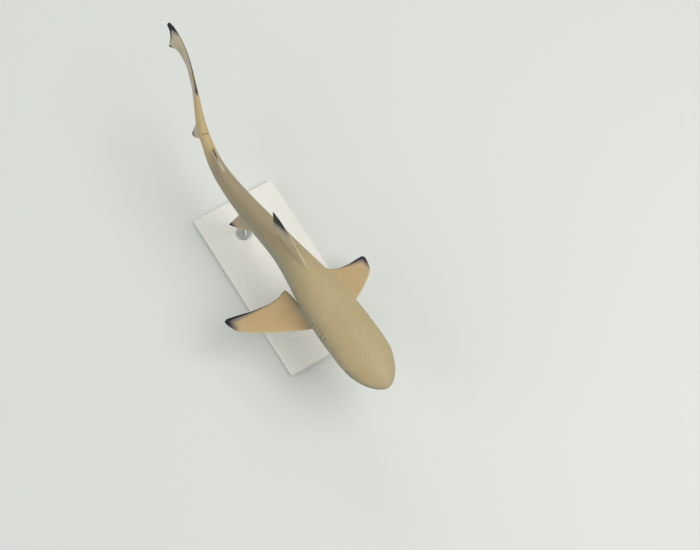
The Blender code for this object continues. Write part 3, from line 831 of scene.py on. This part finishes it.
def frame_at(u, angle):
    """The plain hull's point, outward normal and tailward tangent at one station and angle."""
    u, angle = np.array([u]), np.array([angle])
    along = (plain_body(u + 2e-4, angle) - plain_body(u - 2e-4, angle))[0]
    around = (plain_body(u, angle + 2e-3) - plain_body(u, angle - 2e-3))[0]
    normal = np.cross(around, along)
    return plain_body(u, angle)[0], normal / np.linalg.norm(normal), along / np.linalg.norm(along)


BLADE_TOP = 0.0030  # how far a blade stands out of the hull


def blade_ring(point, normal, along, half, deep, slant):
    """A slice of a blade: above the skin it is as wide as at the skin, below it narrows to an edge that is
    set forward by the slant."""
    below = ((0.55, -0.6 * deep), (0.0, -deep), (-0.55, -0.6 * deep))
    profile = ((1.0, BLADE_TOP), (1.0, 0.0), *below, (-1.0, 0.0), (-1.0, BLADE_TOP))
    return np.array([
        point + normal * height + along * (half * side + slant * min(height, 0) / deep)
        for side, height in profile])


def gill_cutter(k, sign):
    rings = []
    low, high = np.radians(GILL_ANGLES[k])
    for angle in np.linspace(low, high, 31):
        line, share = slit_line(k, angle)
        point, normal, along = frame_at(line, angle)
        half = GILL_HALF * math.sqrt(max(1 - share**2, 0.002))
        deep = GILL_DEEP * (1 - 0.97 * share**2)
        rings.append(bend(blade_ring(point, normal, along, half, deep, 0.5 * deep) * (1, sign, 1)))
    return loft(f"gill_{k}_{sign}", rings, (skin_look, inside_look))


def underside_angle(u, v):
    """The angle round the body, below it, at which the hull at station u is v out to the left."""
    angles = np.radians(np.linspace(-90, 0, 181))
    return float(np.interp(v, plain_body(np.full(181, u), angles)[:, 1], angles))


def mouth_cutter():
    rings = []
    for v in np.linspace(-MOUTH_HALF, MOUTH_HALF, 61):
        u = float(mouth_line(v))
        point, normal, along = frame_at(u, underside_angle(u, abs(v)))
        flip = (1, -1 if v < 0 else 1, 1)
        across = np.cross(normal, along)
        across *= np.sign(across[1])
        ahead = along - mouth_slope(v) * across  # square to the line of the lips
        ahead /= np.linalg.norm(ahead)
        half = LIPS_HALF * math.sqrt(max(1 - (v / MOUTH_HALF) ** 4, 0.003))
        rings.append(bend(blade_ring(point, normal, ahead, half, LIPS_DEEP, 0.5 * LIPS_DEEP) * flip))
    return loft("mouth_cutter", rings, (skin_look, inside_look))


def ball(name, centre, sizes, turn, tilt=0.0, slots=(), rows=40, columns=64):
    """An ellipsoid with half sizes along, across and up, tilted across and then turned about the vertical."""
    polar = np.linspace(0, math.pi, rows + 1)[1:-1]
    round_it = np.linspace(0, 2 * math.pi, columns, endpoint=False)
    x, z = np.cos(round_it), np.sin(round_it)
    rings = [np.stack([math.sin(p) * x, np.full(columns, math.cos(p)), math.sin(p) * z], 1) for p in polar]
    points = np.concatenate([[(0, 1, 0)], *rings, [(0, -1, 0)]]) * sizes
    return mesh_object(name, place_ball(points, centre, turn, tilt), bands([columns] * len(rings)), slots)


def place_ball(points, centre, turn, tilt=0.0):
    x, y, z = points.T
    y, z = y * math.cos(tilt) - z * math.sin(tilt), y * math.sin(tilt) + z * math.cos(tilt)
    x, y = x * math.cos(turn) - y * math.sin(turn), x * math.sin(turn) + y * math.cos(turn)
    return np.stack([x, y, z], axis=1) + centre


def hull_side(u, w):
    """How far out the plain hull is at station u and height w."""
    angles = np.radians(np.linspace(-80, 80, 321))
    ring = plain_body(np.full(321, u), angles)
    return float(np.interp(w, ring[:, 2], ring[:, 1]))


EYE_REACH = hull_side(EYE_U, EYE_W)
EYE_HEADING = float(np.interp(EYE_U, stations, turns))


def eye_place(sign, out, u=EYE_U):
    """The centre of a ball that lies out from the hull beside the eye, and its turn."""
    centre = bend([(u, sign * (EYE_REACH + out), EYE_W)])[0]
    return centre, EYE_HEADING - sign * EYE_TURN


# %% Cut the openings
cutters = [mouth_cutter()]
for sign in (1, -1):
    cutters += [gill_cutter(k, sign) for k in range(len(GILL_U))]
    centre, turn = eye_place(sign, EYE_OUT - EYE_SIZE[1])
    sizes = np.array(EYE_SIZE) * TOTAL_LENGTH
    cutters.append(ball(f"socket_{sign}", centre, sizes + 0.00025, turn, slots=(skin_look, inside_look)))
    centre, turn = eye_place(sign, 0.0002, LID_U)
    bowl = np.array([LIDS[0], 0.0030, LIDS[1]]) * TOTAL_LENGTH
    cutters.append(ball(f"lids_{sign}", centre, bowl, turn, slots=(skin_look, inside_look)))
    u, v, w = NOSTRIL
    turn = float(np.interp(u, stations, turns)) + sign * NOSTRIL_TURN
    sizes = np.array(NOSTRIL_SIZE) * TOTAL_LENGTH
    centre = bend([(u, sign * v, w)])[0]
    cutters.append(ball(f"nostril_{sign}", centre, sizes, turn, slots=(skin_look, inside_look)))
for tool in cutters:
    for face in tool.data.polygons:
        face.material_index = 1
boolean(skin, cutters, "DIFFERENCE")
print(len(skin.data.vertices), "points after cutting the openings")

# %% Give every point its facts
source_points = np.concatenate([body_points] + [s[0] for s in fin_shapes.values()])
source_facts = np.concatenate([body_about] + [s[1] for s in fin_shapes.values()])
sources = tree_of(source_points)

shape = bmesh.new()
shape.from_mesh(skin.data)
bmesh.ops.remove_doubles(shape, verts=shape.verts, dist=3e-6)
bmesh.ops.dissolve_degenerate(shape, dist=1e-6, edges=shape.edges)
bmesh.ops.triangulate(shape, faces=[f for f in shape.faces if len(f.verts) > 4])
shape.verts.ensure_lookup_table()
shape.verts.index_update()
about = source_facts[[sources.find(v.co)[1] for v in shape.verts]]
distance = np.array([crease.find(v.co)[2] for v in shape.verts])
pairs = np.array([(e.verts[0].index, e.verts[1].index) for e in shape.edges])
near = distance < 2 * CREASE_REACH
about = relaxed(about, near, 0.7 * np.clip(1 - distance / (2 * CREASE_REACH), 0, 1), 30)
shape.to_mesh(skin.data)
shape.free()
for k, fact in enumerate(FACTS):
    skin.data.attributes.new(fact, "FLOAT", "POINT").data.foreach_set("value", about[:, k].astype(np.float32))
skin.data.shade_smooth()
skin.data.set_sharp_from_angle(angle=math.radians(52))
print("the skin has", sum(len(p.vertices) - 2 for p in skin.data.polygons), "triangles")

# %% [markdown]
# ## Paint for the skin
#
# Museum fish are cast and painted: a satin coat, colours that drift, and markings with slightly ragged
# borders. The effects that more than one finish uses are node groups: a fine grain, a cloudy drift, and a
# mask that turns a distance into a marking with a ragged border.

# %% Shared effects
def new_group(name, inputs, outputs):
    group = bpy.data.node_groups.new(name, "ShaderNodeTree")
    for label, default in inputs.items():
        kind = "NodeSocketVector" if default is None else "NodeSocketFloat"
        socket = group.interface.new_socket(name=label, in_out="INPUT", socket_type=kind)
        if default is not None:
            socket.default_value = default
    for label in outputs:
        group.interface.new_socket(name=label, in_out="OUTPUT", socket_type="NodeSocketFloat")
    return group, group.nodes.new("NodeGroupInput"), group.nodes.new("NodeGroupOutput")


def use(tree, group, **inputs):
    made = tree.nodes.new("ShaderNodeGroup")
    made.node_tree = group
    for key, value in inputs.items():
        feed(tree, made.inputs[key], value)
    return made


def grain_group():
    """Small close bumps, as of skin teeth or sprayed paint, and a faint speckle of their tops."""
    inputs = {"Place": None, "Size": 0.001, "Speckle": 0.5}
    group, entry, leave = new_group("fine_grain", inputs, ("Height", "Tone"))
    place = entry.outputs["Place"]
    scale = maths(group, "DIVIDE", 1.0, entry.outputs["Size"])
    cells = node(group, "ShaderNodeTexVoronoi", Vector=place, Scale=scale)
    cloud = node(group, "ShaderNodeTexNoise", Vector=place, Scale=maths(group, "MULTIPLY", scale, 0.45))
    rounded = ranged(group, cells.outputs["Distance"], 0.0, 0.7, 1.0, 0.0)
    height = maths(group, "MULTIPLY_ADD", cloud.outputs[0], 0.6, rounded)
    tone = maths(group, "MULTIPLY_ADD", maths(group, "SUBTRACT", height, 0.8), entry.outputs["Speckle"], 1.0)
    feed(group, leave.inputs["Height"], height)
    feed(group, leave.inputs["Tone"], tone)
    return group


def drift_group():
    """A cloudy value around 0, from -1 to 1, at one size and a broader one."""
    inputs = {"Place": None, "Size": 0.02, "Strength": 1.0}
    group, entry, leave = new_group("cloudy_drift", inputs, ("Value",))
    place = entry.outputs["Place"]
    scale = maths(group, "DIVIDE", 1.0, entry.outputs["Size"])
    fine = node(group, "ShaderNodeTexNoise", Vector=place, Scale=scale, Detail=4.0)
    broad = node(group, "ShaderNodeTexNoise", Vector=place, Scale=maths(group, "MULTIPLY", scale, 0.3))
    both = maths(group, "ADD", fine.outputs[0], broad.outputs[0])
    centred = maths(group, "MULTIPLY", maths(group, "SUBTRACT", both, 1.0), 2.2)
    feed(group, leave.inputs["Value"], maths(group, "MULTIPLY", centred, entry.outputs["Strength"]))
    return group


def marking_group():
    """A mask that is 1 where the distance is over 0, over a soft and ragged border."""
    group, entry, leave = new_group(
        "ragged_marking", {"Place": None, "Distance": 0.0, "Soft": 0.001, "Ragged": 0.001}, ("Mask",))
    ripple = node(group, "ShaderNodeTexNoise", Vector=entry.outputs["Place"], Scale=260.0, Detail=3.0)
    centred = maths(group, "SUBTRACT", ripple.outputs[0], 0.5)
    shift = maths(group, "MULTIPLY", centred, entry.outputs["Ragged"])
    shifted = maths(group, "ADD", entry.outputs["Distance"], shift)
    low = maths(group, "MULTIPLY", entry.outputs["Soft"], -1.0)
    feed(group, leave.inputs["Mask"], ranged(group, shifted, low, entry.outputs["Soft"]))
    return group


FINE_GRAIN, CLOUDY_DRIFT, RAGGED_MARKING = grain_group(), drift_group(), marking_group()
print("shared effects:", [g.name for g in bpy.data.node_groups])

# %% [markdown]
# The back is a sandy olive that darkens rearwards and is paler again before the tail fin. The flanks go
# greyer above the white belly, partly their own colour and partly painted shade on the lower sides; the
# belly's white climbs in a wedge that is highest near the pelvic fins. Fins take a warmer tone, with a
# painted highlight along the front edge. Next to each black tip the web is paler, and the black fades into
# warm grey. A thin dark line runs along the flank, where the fish feels the water move.

# %% Skin paint
BACK = paint(175, 158, 119)
BACK_REAR = paint(153, 138, 109)
TAIL_BASE = paint(188, 167, 119)
SNOUT = paint(182, 163, 130)
# grey of the lower sides: partly the skin's own colour, partly painted shade
FLANK_GREY_AND_SHADE = paint(143, 141, 122)
BELLY = paint(226, 223, 212)
FIN_WEB = paint(191, 162, 116)
FIN_PALE = paint(182, 170, 148)
# painted highlight along the fins' front edges
FIN_EDGE_HIGHLIGHT = paint(199, 185, 139)
SMOKE = paint(104, 96, 95)
# painted shade for the notch before the tail
NOTCH_SHADE = paint(104, 82, 58)
BLACK = paint(16, 17, 15)
NOTCH_SHADE_U = 0.7308  # painted shade: the dark line in the notch before the tail fin


def fact(tree, name):
    return node(tree, "ShaderNodeAttribute", attribute_name=name).outputs["Fac"]


def skin_paint(tree, shader):
    place = node(tree, "ShaderNodeTexCoord").outputs["Object"]
    along, crown, flank, tip, rim, smoke, lead, fin, warm, share, line = (fact(tree, name) for name in FACTS)
    drift = use(tree, CLOUDY_DRIFT, Place=place, Size=0.022, Strength=1.0).outputs[0]
    fine_drift = use(tree, CLOUDY_DRIFT, Place=place, Size=0.0045, Strength=1.0).outputs[0]
    grain = use(tree, FINE_GRAIN, Place=place, Size=0.0008, Speckle=0.10)

    def marking(distance, soft, ragged):
        return use(tree, RAGGED_MARKING, Place=place, Distance=distance, Soft=soft, Ragged=ragged).outputs[0]

    back = blended(tree, ranged(tree, along, 0.24, 0.48), BACK, BACK_REAR)
    back = blended(tree, ranged(tree, along, 0.0, 0.045, 0.7, 0.0), back, SNOUT)
    back = blended(tree, ranged(tree, along, 0.62, 0.72), back, TAIL_BASE)
    height_up = maths(tree, "MULTIPLY_ADD", drift, 0.07, crown)
    # below the back the colour turns to the flank grey, which is partly painted shade on the lower sides
    colour = blended(tree, ranged(tree, height_up, 0.20, 0.80), FLANK_GREY_AND_SHADE, back)
    near_tip = marking(maths(tree, "ADD", tip, 0.014), 0.012, 0.004)
    web = blended(tree, maths(tree, "MULTIPLY_ADD", near_tip, -0.25, warm, clamp=True), FIN_PALE, FIN_WEB)
    colour = blended(tree, maths(tree, "MULTIPLY", fin, 0.85, clamp=True), colour, web)
    tail = ranged(tree, maths(tree, "MULTIPLY_ADD", fine_drift, 0.003, along), 0.816, 0.837)
    colour = blended(tree, tail, colour, FIN_PALE)
    # painted shade in the notch, on the top of the body
    from_notch_shade = maths(tree, "ABSOLUTE", maths(tree, "SUBTRACT", along, NOTCH_SHADE_U))
    notch_shade = ranged(tree, from_notch_shade, 0.0008, 0.0032, 0.6, 0.0)
    colour = blended(tree, maths(tree, "MULTIPLY", notch_shade, ranged(tree, crown, 0.78, 0.93)), colour, NOTCH_SHADE)
    lowered = maths(tree, "MULTIPLY", maths(tree, "MULTIPLY_ADD", drift, 0.0025, flank), -1.0)
    colour = blended(tree, marking(lowered, 0.0055, 0.0020), colour, BELLY)
    # a painted highlight along the front edges of the fins and the top of the upper tail lobe
    front_edge = ranged(tree, lead, 0.0008, 0.0042, 1.0, 0.0)
    edge = maths(tree, "MULTIPLY", front_edge, maths(tree, "MULTIPLY", fin, 0.8, clamp=True))
    colour = blended(tree, edge, colour, FIN_EDGE_HIGHLIGHT)
    toned = maths(tree, "MULTIPLY_ADD", drift, 0.075, maths(tree, "MULTIPLY_ADD", fine_drift, 0.035, 1.0))
    toned = maths(tree, "MULTIPLY", toned, grain.outputs["Tone"])
    grey = node(tree, "ShaderNodeCombineColor", Red=toned, Green=toned, Blue=toned).outputs[0]
    colour = blended(tree, 1.0, colour, grey, "MULTIPLY")
    thread = ranged(tree, maths(tree, "ABSOLUTE", line), 0.0003, 0.0012, 0.20, 0.0)
    fading = ranged(tree, along, 0.60, 0.70, 1.0, 0.0)
    stretch = maths(tree, "MULTIPLY", ranged(tree, along, 0.15, 0.20), fading)
    colour = blended(tree, maths(tree, "MULTIPLY", thread, stretch), colour, SMOKE)
    smoky = ranged(tree, maths(tree, "MULTIPLY_ADD", fine_drift, 0.0010, smoke), -0.0035, 0.0065, 0.0, 0.90)
    colour = blended(tree, smoky, colour, SMOKE)
    softness = maths(tree, "MULTIPLY_ADD", warm, 0.0020, 0.0012)
    dark = maths(tree, "MAXIMUM", marking(tip, softness, 0.0020), marking(rim, 0.0007, 0.0006))
    colour = blended(tree, dark, colour, BLACK)
    feed(tree, shader.inputs["Base Color"], colour)

    across, down = maths(tree, "MULTIPLY", share, 70.0), maths(tree, "MULTIPLY", along, 6.0)
    rays = node(tree, "ShaderNodeCombineXYZ", X=across, Y=down)
    ray = node(tree, "ShaderNodeTexNoise", Vector=rays.outputs[0], Scale=1.0, Detail=1.0).outputs[0]
    ray = maths(tree, "MULTIPLY", maths(tree, "MULTIPLY", ray, fin), 0.9)
    height = maths(tree, "MULTIPLY_ADD", grain.outputs["Height"], 0.22, ray)
    height = maths(tree, "MULTIPLY_ADD", fine_drift, 0.10, height)
    bump = node(tree, "ShaderNodeBump", Height=height, Strength=0.35, Distance=0.0006)
    feed(tree, shader.inputs["Normal"], bump.outputs[0])
    feed(tree, shader.inputs["Roughness"], ranged(tree, drift, -1.0, 1.0, 0.46, 0.58))
    shader.inputs["Specular IOR Level"].default_value = 0.35
    shader.inputs["Coat Weight"].default_value = 0.04
    shader.inputs["Coat Roughness"].default_value = 0.28


skin_paint(skin_tree, skin_shader)
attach(skin, "root")
FLESH = sorted(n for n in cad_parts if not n.startswith(("eye_", "stand_")))
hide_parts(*FLESH)
print("the skin stands for", FLESH)


# %% Lining of the slits, dark flesh with painted shade
def lining_paint(tree, shader):
    place = node(tree, "ShaderNodeTexCoord").outputs["Object"]
    drift = use(tree, CLOUDY_DRIFT, Place=place, Size=0.004, Strength=0.5).outputs[0]
    share = maths(tree, "ADD", drift, 0.5, clamp=True)
    # dark browns that paint the shade inside the openings as well as the flesh
    feed(tree, shader.inputs["Base Color"], blended(tree, share, paint(52, 42, 38), paint(78, 62, 55)))
    feed(tree, shader.inputs["Roughness"], ranged(tree, drift, -1.0, 1.0, 0.5, 0.65))


lining_paint(inside_tree, inside_shader)

# %% [markdown]
# ## Eyes
#
# A reef shark's eye is an oval ball with a golden iris, cut by an upright slit pupil. Painting both on a
# plain ball looks flat. Here the iris is a shallow dish and the pupil a sunken slot, under a clear cornea
# that keeps the ball's own curve, so that the highlight and the iris lie at different depths.

# %% Eyeballs
IRIS_EDGE, DISH = 0.80, 0.075  # radius of the iris and how far its middle is sunk, as shares of the ball
PUPIL = (0.085, 0.50)  # half width and half height of the slit
CLEAR = (0.995, 0.955)  # outer and inner face of the cornea


def dome(sign, polar, reach):
    """Rings round the way the eye looks, one for each polar angle, with a reach for each point."""
    round_it = np.linspace(0, 2 * math.pi, 96, endpoint=False)
    rings = []
    for p in polar:
        x, z = math.sin(p) * np.cos(round_it), math.sin(p) * np.sin(round_it)
        ring = np.stack([x, np.full(96, sign * math.cos(p)), z], axis=1)
        rings.append(ring * reach(p, x, z)[:, None] * np.array(EYE_SIZE) * TOTAL_LENGTH)
    return rings


def slit_inside(x, z):
    """Distance into the pupil's upright lens shape, as a share of the ball: over 0 inside it."""
    tall = np.clip(1 - (z / PUPIL[1]) ** 2, 0, 1)
    return PUPIL[0] * tall - np.abs(x) - 0.3 * np.maximum(np.abs(z) - PUPIL[1], 0)


def ball_reach(p, x, z):
    dished = CLEAR[1] - 0.015 - DISH * ramp(math.cos(p), math.sqrt(1 - IRIS_EDGE**2), 1.0)
    sunk = 0.10 * ramp(slit_inside(x, z), -0.010, 0.016)
    return np.where(p < math.asin(IRIS_EDGE) * 1.35, dished, 0.985) - sunk * (p < 1.2)


def closed_rings(rings):
    middle = [r.mean(axis=0) for r in (rings[0], rings[-1])]
    return np.concatenate([[middle[0]], *rings, [middle[1]]]), bands([len(rings[0])] * len(rings))


eye_look, eye_tree, eye_shader = new_material("eye_iris")
clear_look, clear_tree, clear_shader = new_material("eye_cornea")
for side, sign in (("left", 1), ("right", -1)):
    centre, turn = eye_place(sign, EYE_OUT - EYE_SIZE[1])
    polar = np.concatenate([np.radians(np.linspace(0.8, 75, 58)), np.radians(np.linspace(82, 176, 14))])
    points, faces = closed_rings(dome(sign, polar, ball_reach))
    eyeball = mesh_object("eyeball_" + side, place_ball(points, centre, turn), faces, (eye_look,))
    flat = points / (np.array(EYE_SIZE) * TOTAL_LENGTH)
    ring = np.hypot(flat[:, 0], flat[:, 2])
    behind = 9 * (flat[:, 1] * sign < 0)
    slit = slit_inside(flat[:, 0], flat[:, 2]) - behind
    ray_x, ray_z = (flat[:, k] / np.maximum(ring, 1e-3) for k in (0, 2))
    for label, values in (("ring", ring + behind), ("slit", slit), ("ray_x", ray_x), ("ray_z", ray_z)):
        attribute = eyeball.data.attributes.new(label, "FLOAT", "POINT")
        attribute.data.foreach_set("value", values.astype(np.float32))
    outer = dome(sign, np.radians(np.linspace(0.8, 66, 40)), lambda p, x, z: np.full(96, CLEAR[0]))
    inner = dome(sign, np.radians(np.linspace(66, 0.8, 40)), lambda p, x, z: np.full(96, CLEAR[1]))
    points, faces = closed_rings(outer + inner)
    cornea = mesh_object("cornea_" + side, place_ball(points, centre, turn), faces, (clear_look,))
    for piece in (eyeball, cornea):
        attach(piece, "root")
    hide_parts("eye_" + side)
    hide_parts("eye_" + side)
print("each eyeball has", len(eyeball.data.vertices), "points")


# %% Eye finishes
def iris_paint(tree, shader):
    ring, slit, ray_x, ray_z = (fact(tree, n) for n in ("ring", "slit", "ray_x", "ray_z"))
    rays = node(tree, "ShaderNodeCombineXYZ", X=ray_x, Y=ray_z, Z=maths(tree, "MULTIPLY", ring, 0.35))
    streaks = node(tree, "ShaderNodeTexNoise", Vector=rays.outputs[0], Scale=11.0, Detail=4.0).outputs[0]
    colour = blended(tree, ranged(tree, streaks, 0.35, 0.68), paint(128, 96, 44), paint(206, 168, 92))
    colour = blended(tree, ranged(tree, ring, 0.55, 0.80), colour, paint(150, 134, 96))
    colour = blended(tree, ranged(tree, ring, 0.76, 0.84), colour, paint(38, 34, 28))
    colour = blended(tree, ranged(tree, slit, -0.035, -0.005), colour, paint(92, 68, 34))
    colour = blended(tree, ranged(tree, slit, -0.006, 0.004), colour, paint(6, 7, 8))
    feed(tree, shader.inputs["Base Color"], colour)
    bump = node(tree, "ShaderNodeBump", Height=streaks, Strength=0.4, Distance=0.0002)
    feed(tree, shader.inputs["Normal"], bump.outputs[0])
    shader.inputs["Roughness"].default_value = 0.28
    shader.inputs["Coat Weight"].default_value = 0.6
    shader.inputs["Coat Roughness"].default_value = 0.05


def cornea_paint(tree, shader):
    place = node(tree, "ShaderNodeTexCoord").outputs["Object"]
    drift = use(tree, CLOUDY_DRIFT, Place=place, Size=0.003, Strength=0.5).outputs[0]
    feed(tree, shader.inputs["Roughness"], ranged(tree, drift, -1.0, 1.0, 0.015, 0.04))
    shader.inputs["Base Color"].default_value = (1, 1, 1, 1)
    shader.inputs["Transmission Weight"].default_value = 1.0
    shader.inputs["IOR"].default_value = 1.34


iris_paint(eye_tree, eye_shader)
cornea_paint(clear_tree, clear_shader)

# %% [markdown]
# ## Stand
#
# Two turned steel rods hold the fish over a painted board. Each rod is one profile spun round its axis: a
# flange with a rounded rim, a small fillet and the plain shank. The shank's height comes from the CAD rod
# it stands for.

# %% Rods
ROD_RADIUS = 0.004
FLANGE = (0.0150, 0.0026)  # radius and thickness
RIM, FILLET = 0.0010, 0.0015  # radius of the flange's rounded rim and of the fillet round the shank
SINK = 0.0012  # how far the rod runs into the belly past the CAD rod's top

steel_look, steel_tree, steel_shader = new_material("brushed_steel")
paint_look, paint_tree, paint_shader = new_material("painted_board")


def arc(centre, radius, start, end, count):
    return [(centre[0] + radius * math.cos(t), centre[1] + radius * math.sin(t))
            for t in np.radians(np.linspace(start, end, count))]


def turned(name, profile, centre, look, steps=64):
    """A solid of revolution from a profile of (radius, height) that starts and ends on the axis."""
    rings = []
    round_it = np.linspace(0, 2 * math.pi, steps, endpoint=False)
    for radius, height in profile[1:-1]:
        rings.append(np.stack([centre[0] + radius * np.cos(round_it), centre[1] + radius * np.sin(round_it),
                               np.full(steps, height)], axis=1))
    ends = [(centre[0], centre[1], h) for _, h in (profile[0], profile[-1])]
    points = np.concatenate([ends[:1], *rings, ends[1:]])
    piece = mesh_object(name, points, bands([steps] * len(rings)), (look,))
    piece.data.set_sharp_from_angle(angle=math.radians(40))
    return piece


board_top = float(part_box("stand_base")[1][2])
foot = board_top + 0.0001  # a hair above the board
for part in ROD_STATIONS:
    low, high = (np.array(c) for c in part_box(part))
    middle = (low + high) / 2
    wide, thick = FLANGE
    profile = [(0, foot), (wide, foot)]
    profile += arc((wide - RIM, foot + thick - RIM), RIM, 0, 90, 7)
    profile += arc((ROD_RADIUS + FILLET, foot + thick + FILLET), FILLET, 270, 180, 7)
    profile += [(ROD_RADIUS, h) for h in np.linspace(foot + thick + 0.004, high[2] + SINK, 9)]
    profile += [(0, high[2] + SINK)]
    rod = turned(part.replace("stand_", "display_"), profile, middle, steel_look)
    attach(rod, "root")
    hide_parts(part)
    print(part, "is", round(high[2] - low[2], 4), "m tall")

# %% [markdown]
# Three screws hold each flange. They are alike and sit on a ring, which is what Geometry Nodes are good at:
# a circle of points, one screw on each, made real at the end. The screw itself is a turned head with a
# six-sided socket.

# %% Screws
SCREW_RING = 0.0105  # its radius
SCREW_HEAD = (0.0021, 0.0011)  # radius and height
SOCKET = (0.0010, 0.0006)  # from the middle to a corner, and depth


def screw_head():
    """One screw head, upright at the origin, with a six-sided recess."""
    radius, height = SCREW_HEAD
    profile = [(0, 0), (radius, 0), (radius, 0.5 * height)]
    profile += arc((radius - 0.5 * height, 0.5 * height), 0.5 * height, 15, 90, 5)
    profile += [(0, height)]
    head = turned("screw_head", profile, (0, 0), steel_look, steps=24)
    reach, deep = SOCKET
    corners = [(reach * math.cos(k * math.pi / 3), reach * math.sin(k * math.pi / 3)) for k in range(6)]
    rings = [np.array([(x, y, z) for x, y in corners]) for z in (height - deep, height + deep)]
    boolean(head, [loft("hex_key", rings, (steel_look,))], "DIFFERENCE")
    return head


def screw_tree(head):
    tree = bpy.data.node_groups.new("ring_of_screws", "GeometryNodeTree")
    tree.interface.new_socket(name="Ring Radius", in_out="INPUT", socket_type="NodeSocketFloat")
    tree.interface.new_socket(name="Screws", in_out="INPUT", socket_type="NodeSocketInt")
    tree.interface.new_socket(name="Height", in_out="INPUT", socket_type="NodeSocketFloat")
    tree.interface.new_socket(name="Geometry", in_out="OUTPUT", socket_type="NodeSocketGeometry")
    entry, leave = tree.nodes.new("NodeGroupInput"), tree.nodes.new("NodeGroupOutput")
    circle = node(tree, "GeometryNodeMeshCircle", Radius=entry.outputs["Ring Radius"],
                  Vertices=entry.outputs["Screws"])
    lift = node(tree, "ShaderNodeCombineXYZ", Z=entry.outputs["Height"])
    raised = node(tree, "GeometryNodeTransform", Geometry=circle.outputs["Mesh"], Translation=lift.outputs[0])
    source = node(tree, "GeometryNodeObjectInfo", Object=head)
    turn = node(tree, "FunctionNodeRandomValue", data_type="FLOAT_VECTOR", Seed=5)
    feed(tree, turn.inputs[0], (0.0, 0.0, 0.0))
    feed(tree, turn.inputs[1], (0.0, 0.0, math.pi))
    placed = node(tree, "GeometryNodeInstanceOnPoints", Points=raised.outputs[0],
                  Instance=source.outputs["Geometry"], Rotation=turn.outputs[0])
    real = node(tree, "GeometryNodeRealizeInstances", Geometry=placed.outputs[0])
    dressed = node(tree, "GeometryNodeSetMaterial", Geometry=real.outputs[0], Material=steel_look)
    tree.links.new(dressed.outputs[0], leave.inputs[0])
    return tree


def ring_of_screws(name, tree, centre, height):
    holder = bpy.data.objects.new(name, bpy.data.meshes.new(name))
    bpy.context.collection.objects.link(holder)
    nodes_modifier = holder.modifiers.new("screws", "NODES")
    nodes_modifier.node_group = tree
    named = {s.name: s.identifier for s in tree.interface.items_tree if s.in_out == "INPUT"}
    nodes_modifier[named["Ring Radius"]] = SCREW_RING
    nodes_modifier[named["Screws"]] = 3
    nodes_modifier[named["Height"]] = height
    plain = bpy.data.meshes.new_from_object(holder.evaluated_get(bpy.context.evaluated_depsgraph_get()))
    holder.modifiers.clear()
    holder.data = plain
    plain.transform(Matrix.Translation((centre[0], centre[1], 0)))
    plain.set_sharp_from_angle(angle=math.radians(35))
    return holder


head = screw_head()
tree = screw_tree(head)
for part in ROD_STATIONS:
    low, high = (np.array(c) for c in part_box(part))
    middle = (low + high) / 2
    screws = ring_of_screws(part.replace("stand_rod", "screws"), tree, middle, foot + FLANGE[1])
    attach(screws, "root")
bpy.data.objects.remove(head)
print("screws round each rod:", len(screws.data.polygons), "faces")


# %% Steel and painted board
def steel_paint(tree, shader):
    place = node(tree, "ShaderNodeTexCoord").outputs["Object"]
    rings = node(tree, "ShaderNodeMapping", Vector=place, Scale=(0.25, 0.25, 60.0))
    brushed = node(tree, "ShaderNodeTexNoise", Vector=rings.outputs[0], Scale=90.0, Detail=5.0).outputs[0]
    smudge = use(tree, CLOUDY_DRIFT, Place=place, Size=0.010, Strength=1.0).outputs[0]
    steel = blended(tree, brushed, paint(188, 188, 186), paint(200, 200, 198))
    feed(tree, shader.inputs["Base Color"], steel)
    rough = ranged(tree, brushed, 0.3, 0.7, 0.28, 0.35)
    feed(tree, shader.inputs["Roughness"], maths(tree, "MULTIPLY_ADD", smudge, 0.05, rough))
    bump = node(tree, "ShaderNodeBump", Height=brushed, Strength=0.06, Distance=0.0001)
    feed(tree, shader.inputs["Normal"], bump.outputs[0])
    shader.inputs["Metallic"].default_value = 1.0


def board_paint(tree, shader):
    place = node(tree, "ShaderNodeTexCoord").outputs["Object"]
    grain = use(tree, FINE_GRAIN, Place=place, Size=0.0012, Speckle=0.03)
    stretched = node(tree, "ShaderNodeMapping", Vector=place, Scale=(4.0, 26.0, 26.0))
    under = node(tree, "ShaderNodeTexNoise", Vector=stretched.outputs[0], Scale=9.0, Detail=5.0).outputs[0]
    smudge = use(tree, CLOUDY_DRIFT, Place=place, Size=0.06, Strength=1.0).outputs[0]
    tone = maths(tree, "MULTIPLY_ADD", smudge, 0.015, grain.outputs["Tone"])
    grey = node(tree, "ShaderNodeCombineColor", Red=tone, Green=tone, Blue=tone).outputs[0]
    colour = blended(tree, ranged(tree, under, 0.35, 0.65), paint(227, 225, 218), paint(230, 228, 221))
    feed(tree, shader.inputs["Base Color"], blended(tree, 1.0, colour, grey, "MULTIPLY"))
    feed(tree, shader.inputs["Roughness"], ranged(tree, smudge, -1.0, 1.0, 0.38, 0.50))
    height = maths(tree, "MULTIPLY_ADD", under, 0.2, maths(tree, "MULTIPLY", grain.outputs["Height"], 0.3))
    bump = node(tree, "ShaderNodeBump", Height=height, Strength=0.2, Distance=0.0003)
    feed(tree, shader.inputs["Normal"], bump.outputs[0])


steel_paint(steel_tree, steel_shader)
board_paint(paint_tree, paint_shader)
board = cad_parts["stand_base"]
board.data.materials.clear()
board.data.materials.append(paint_look)
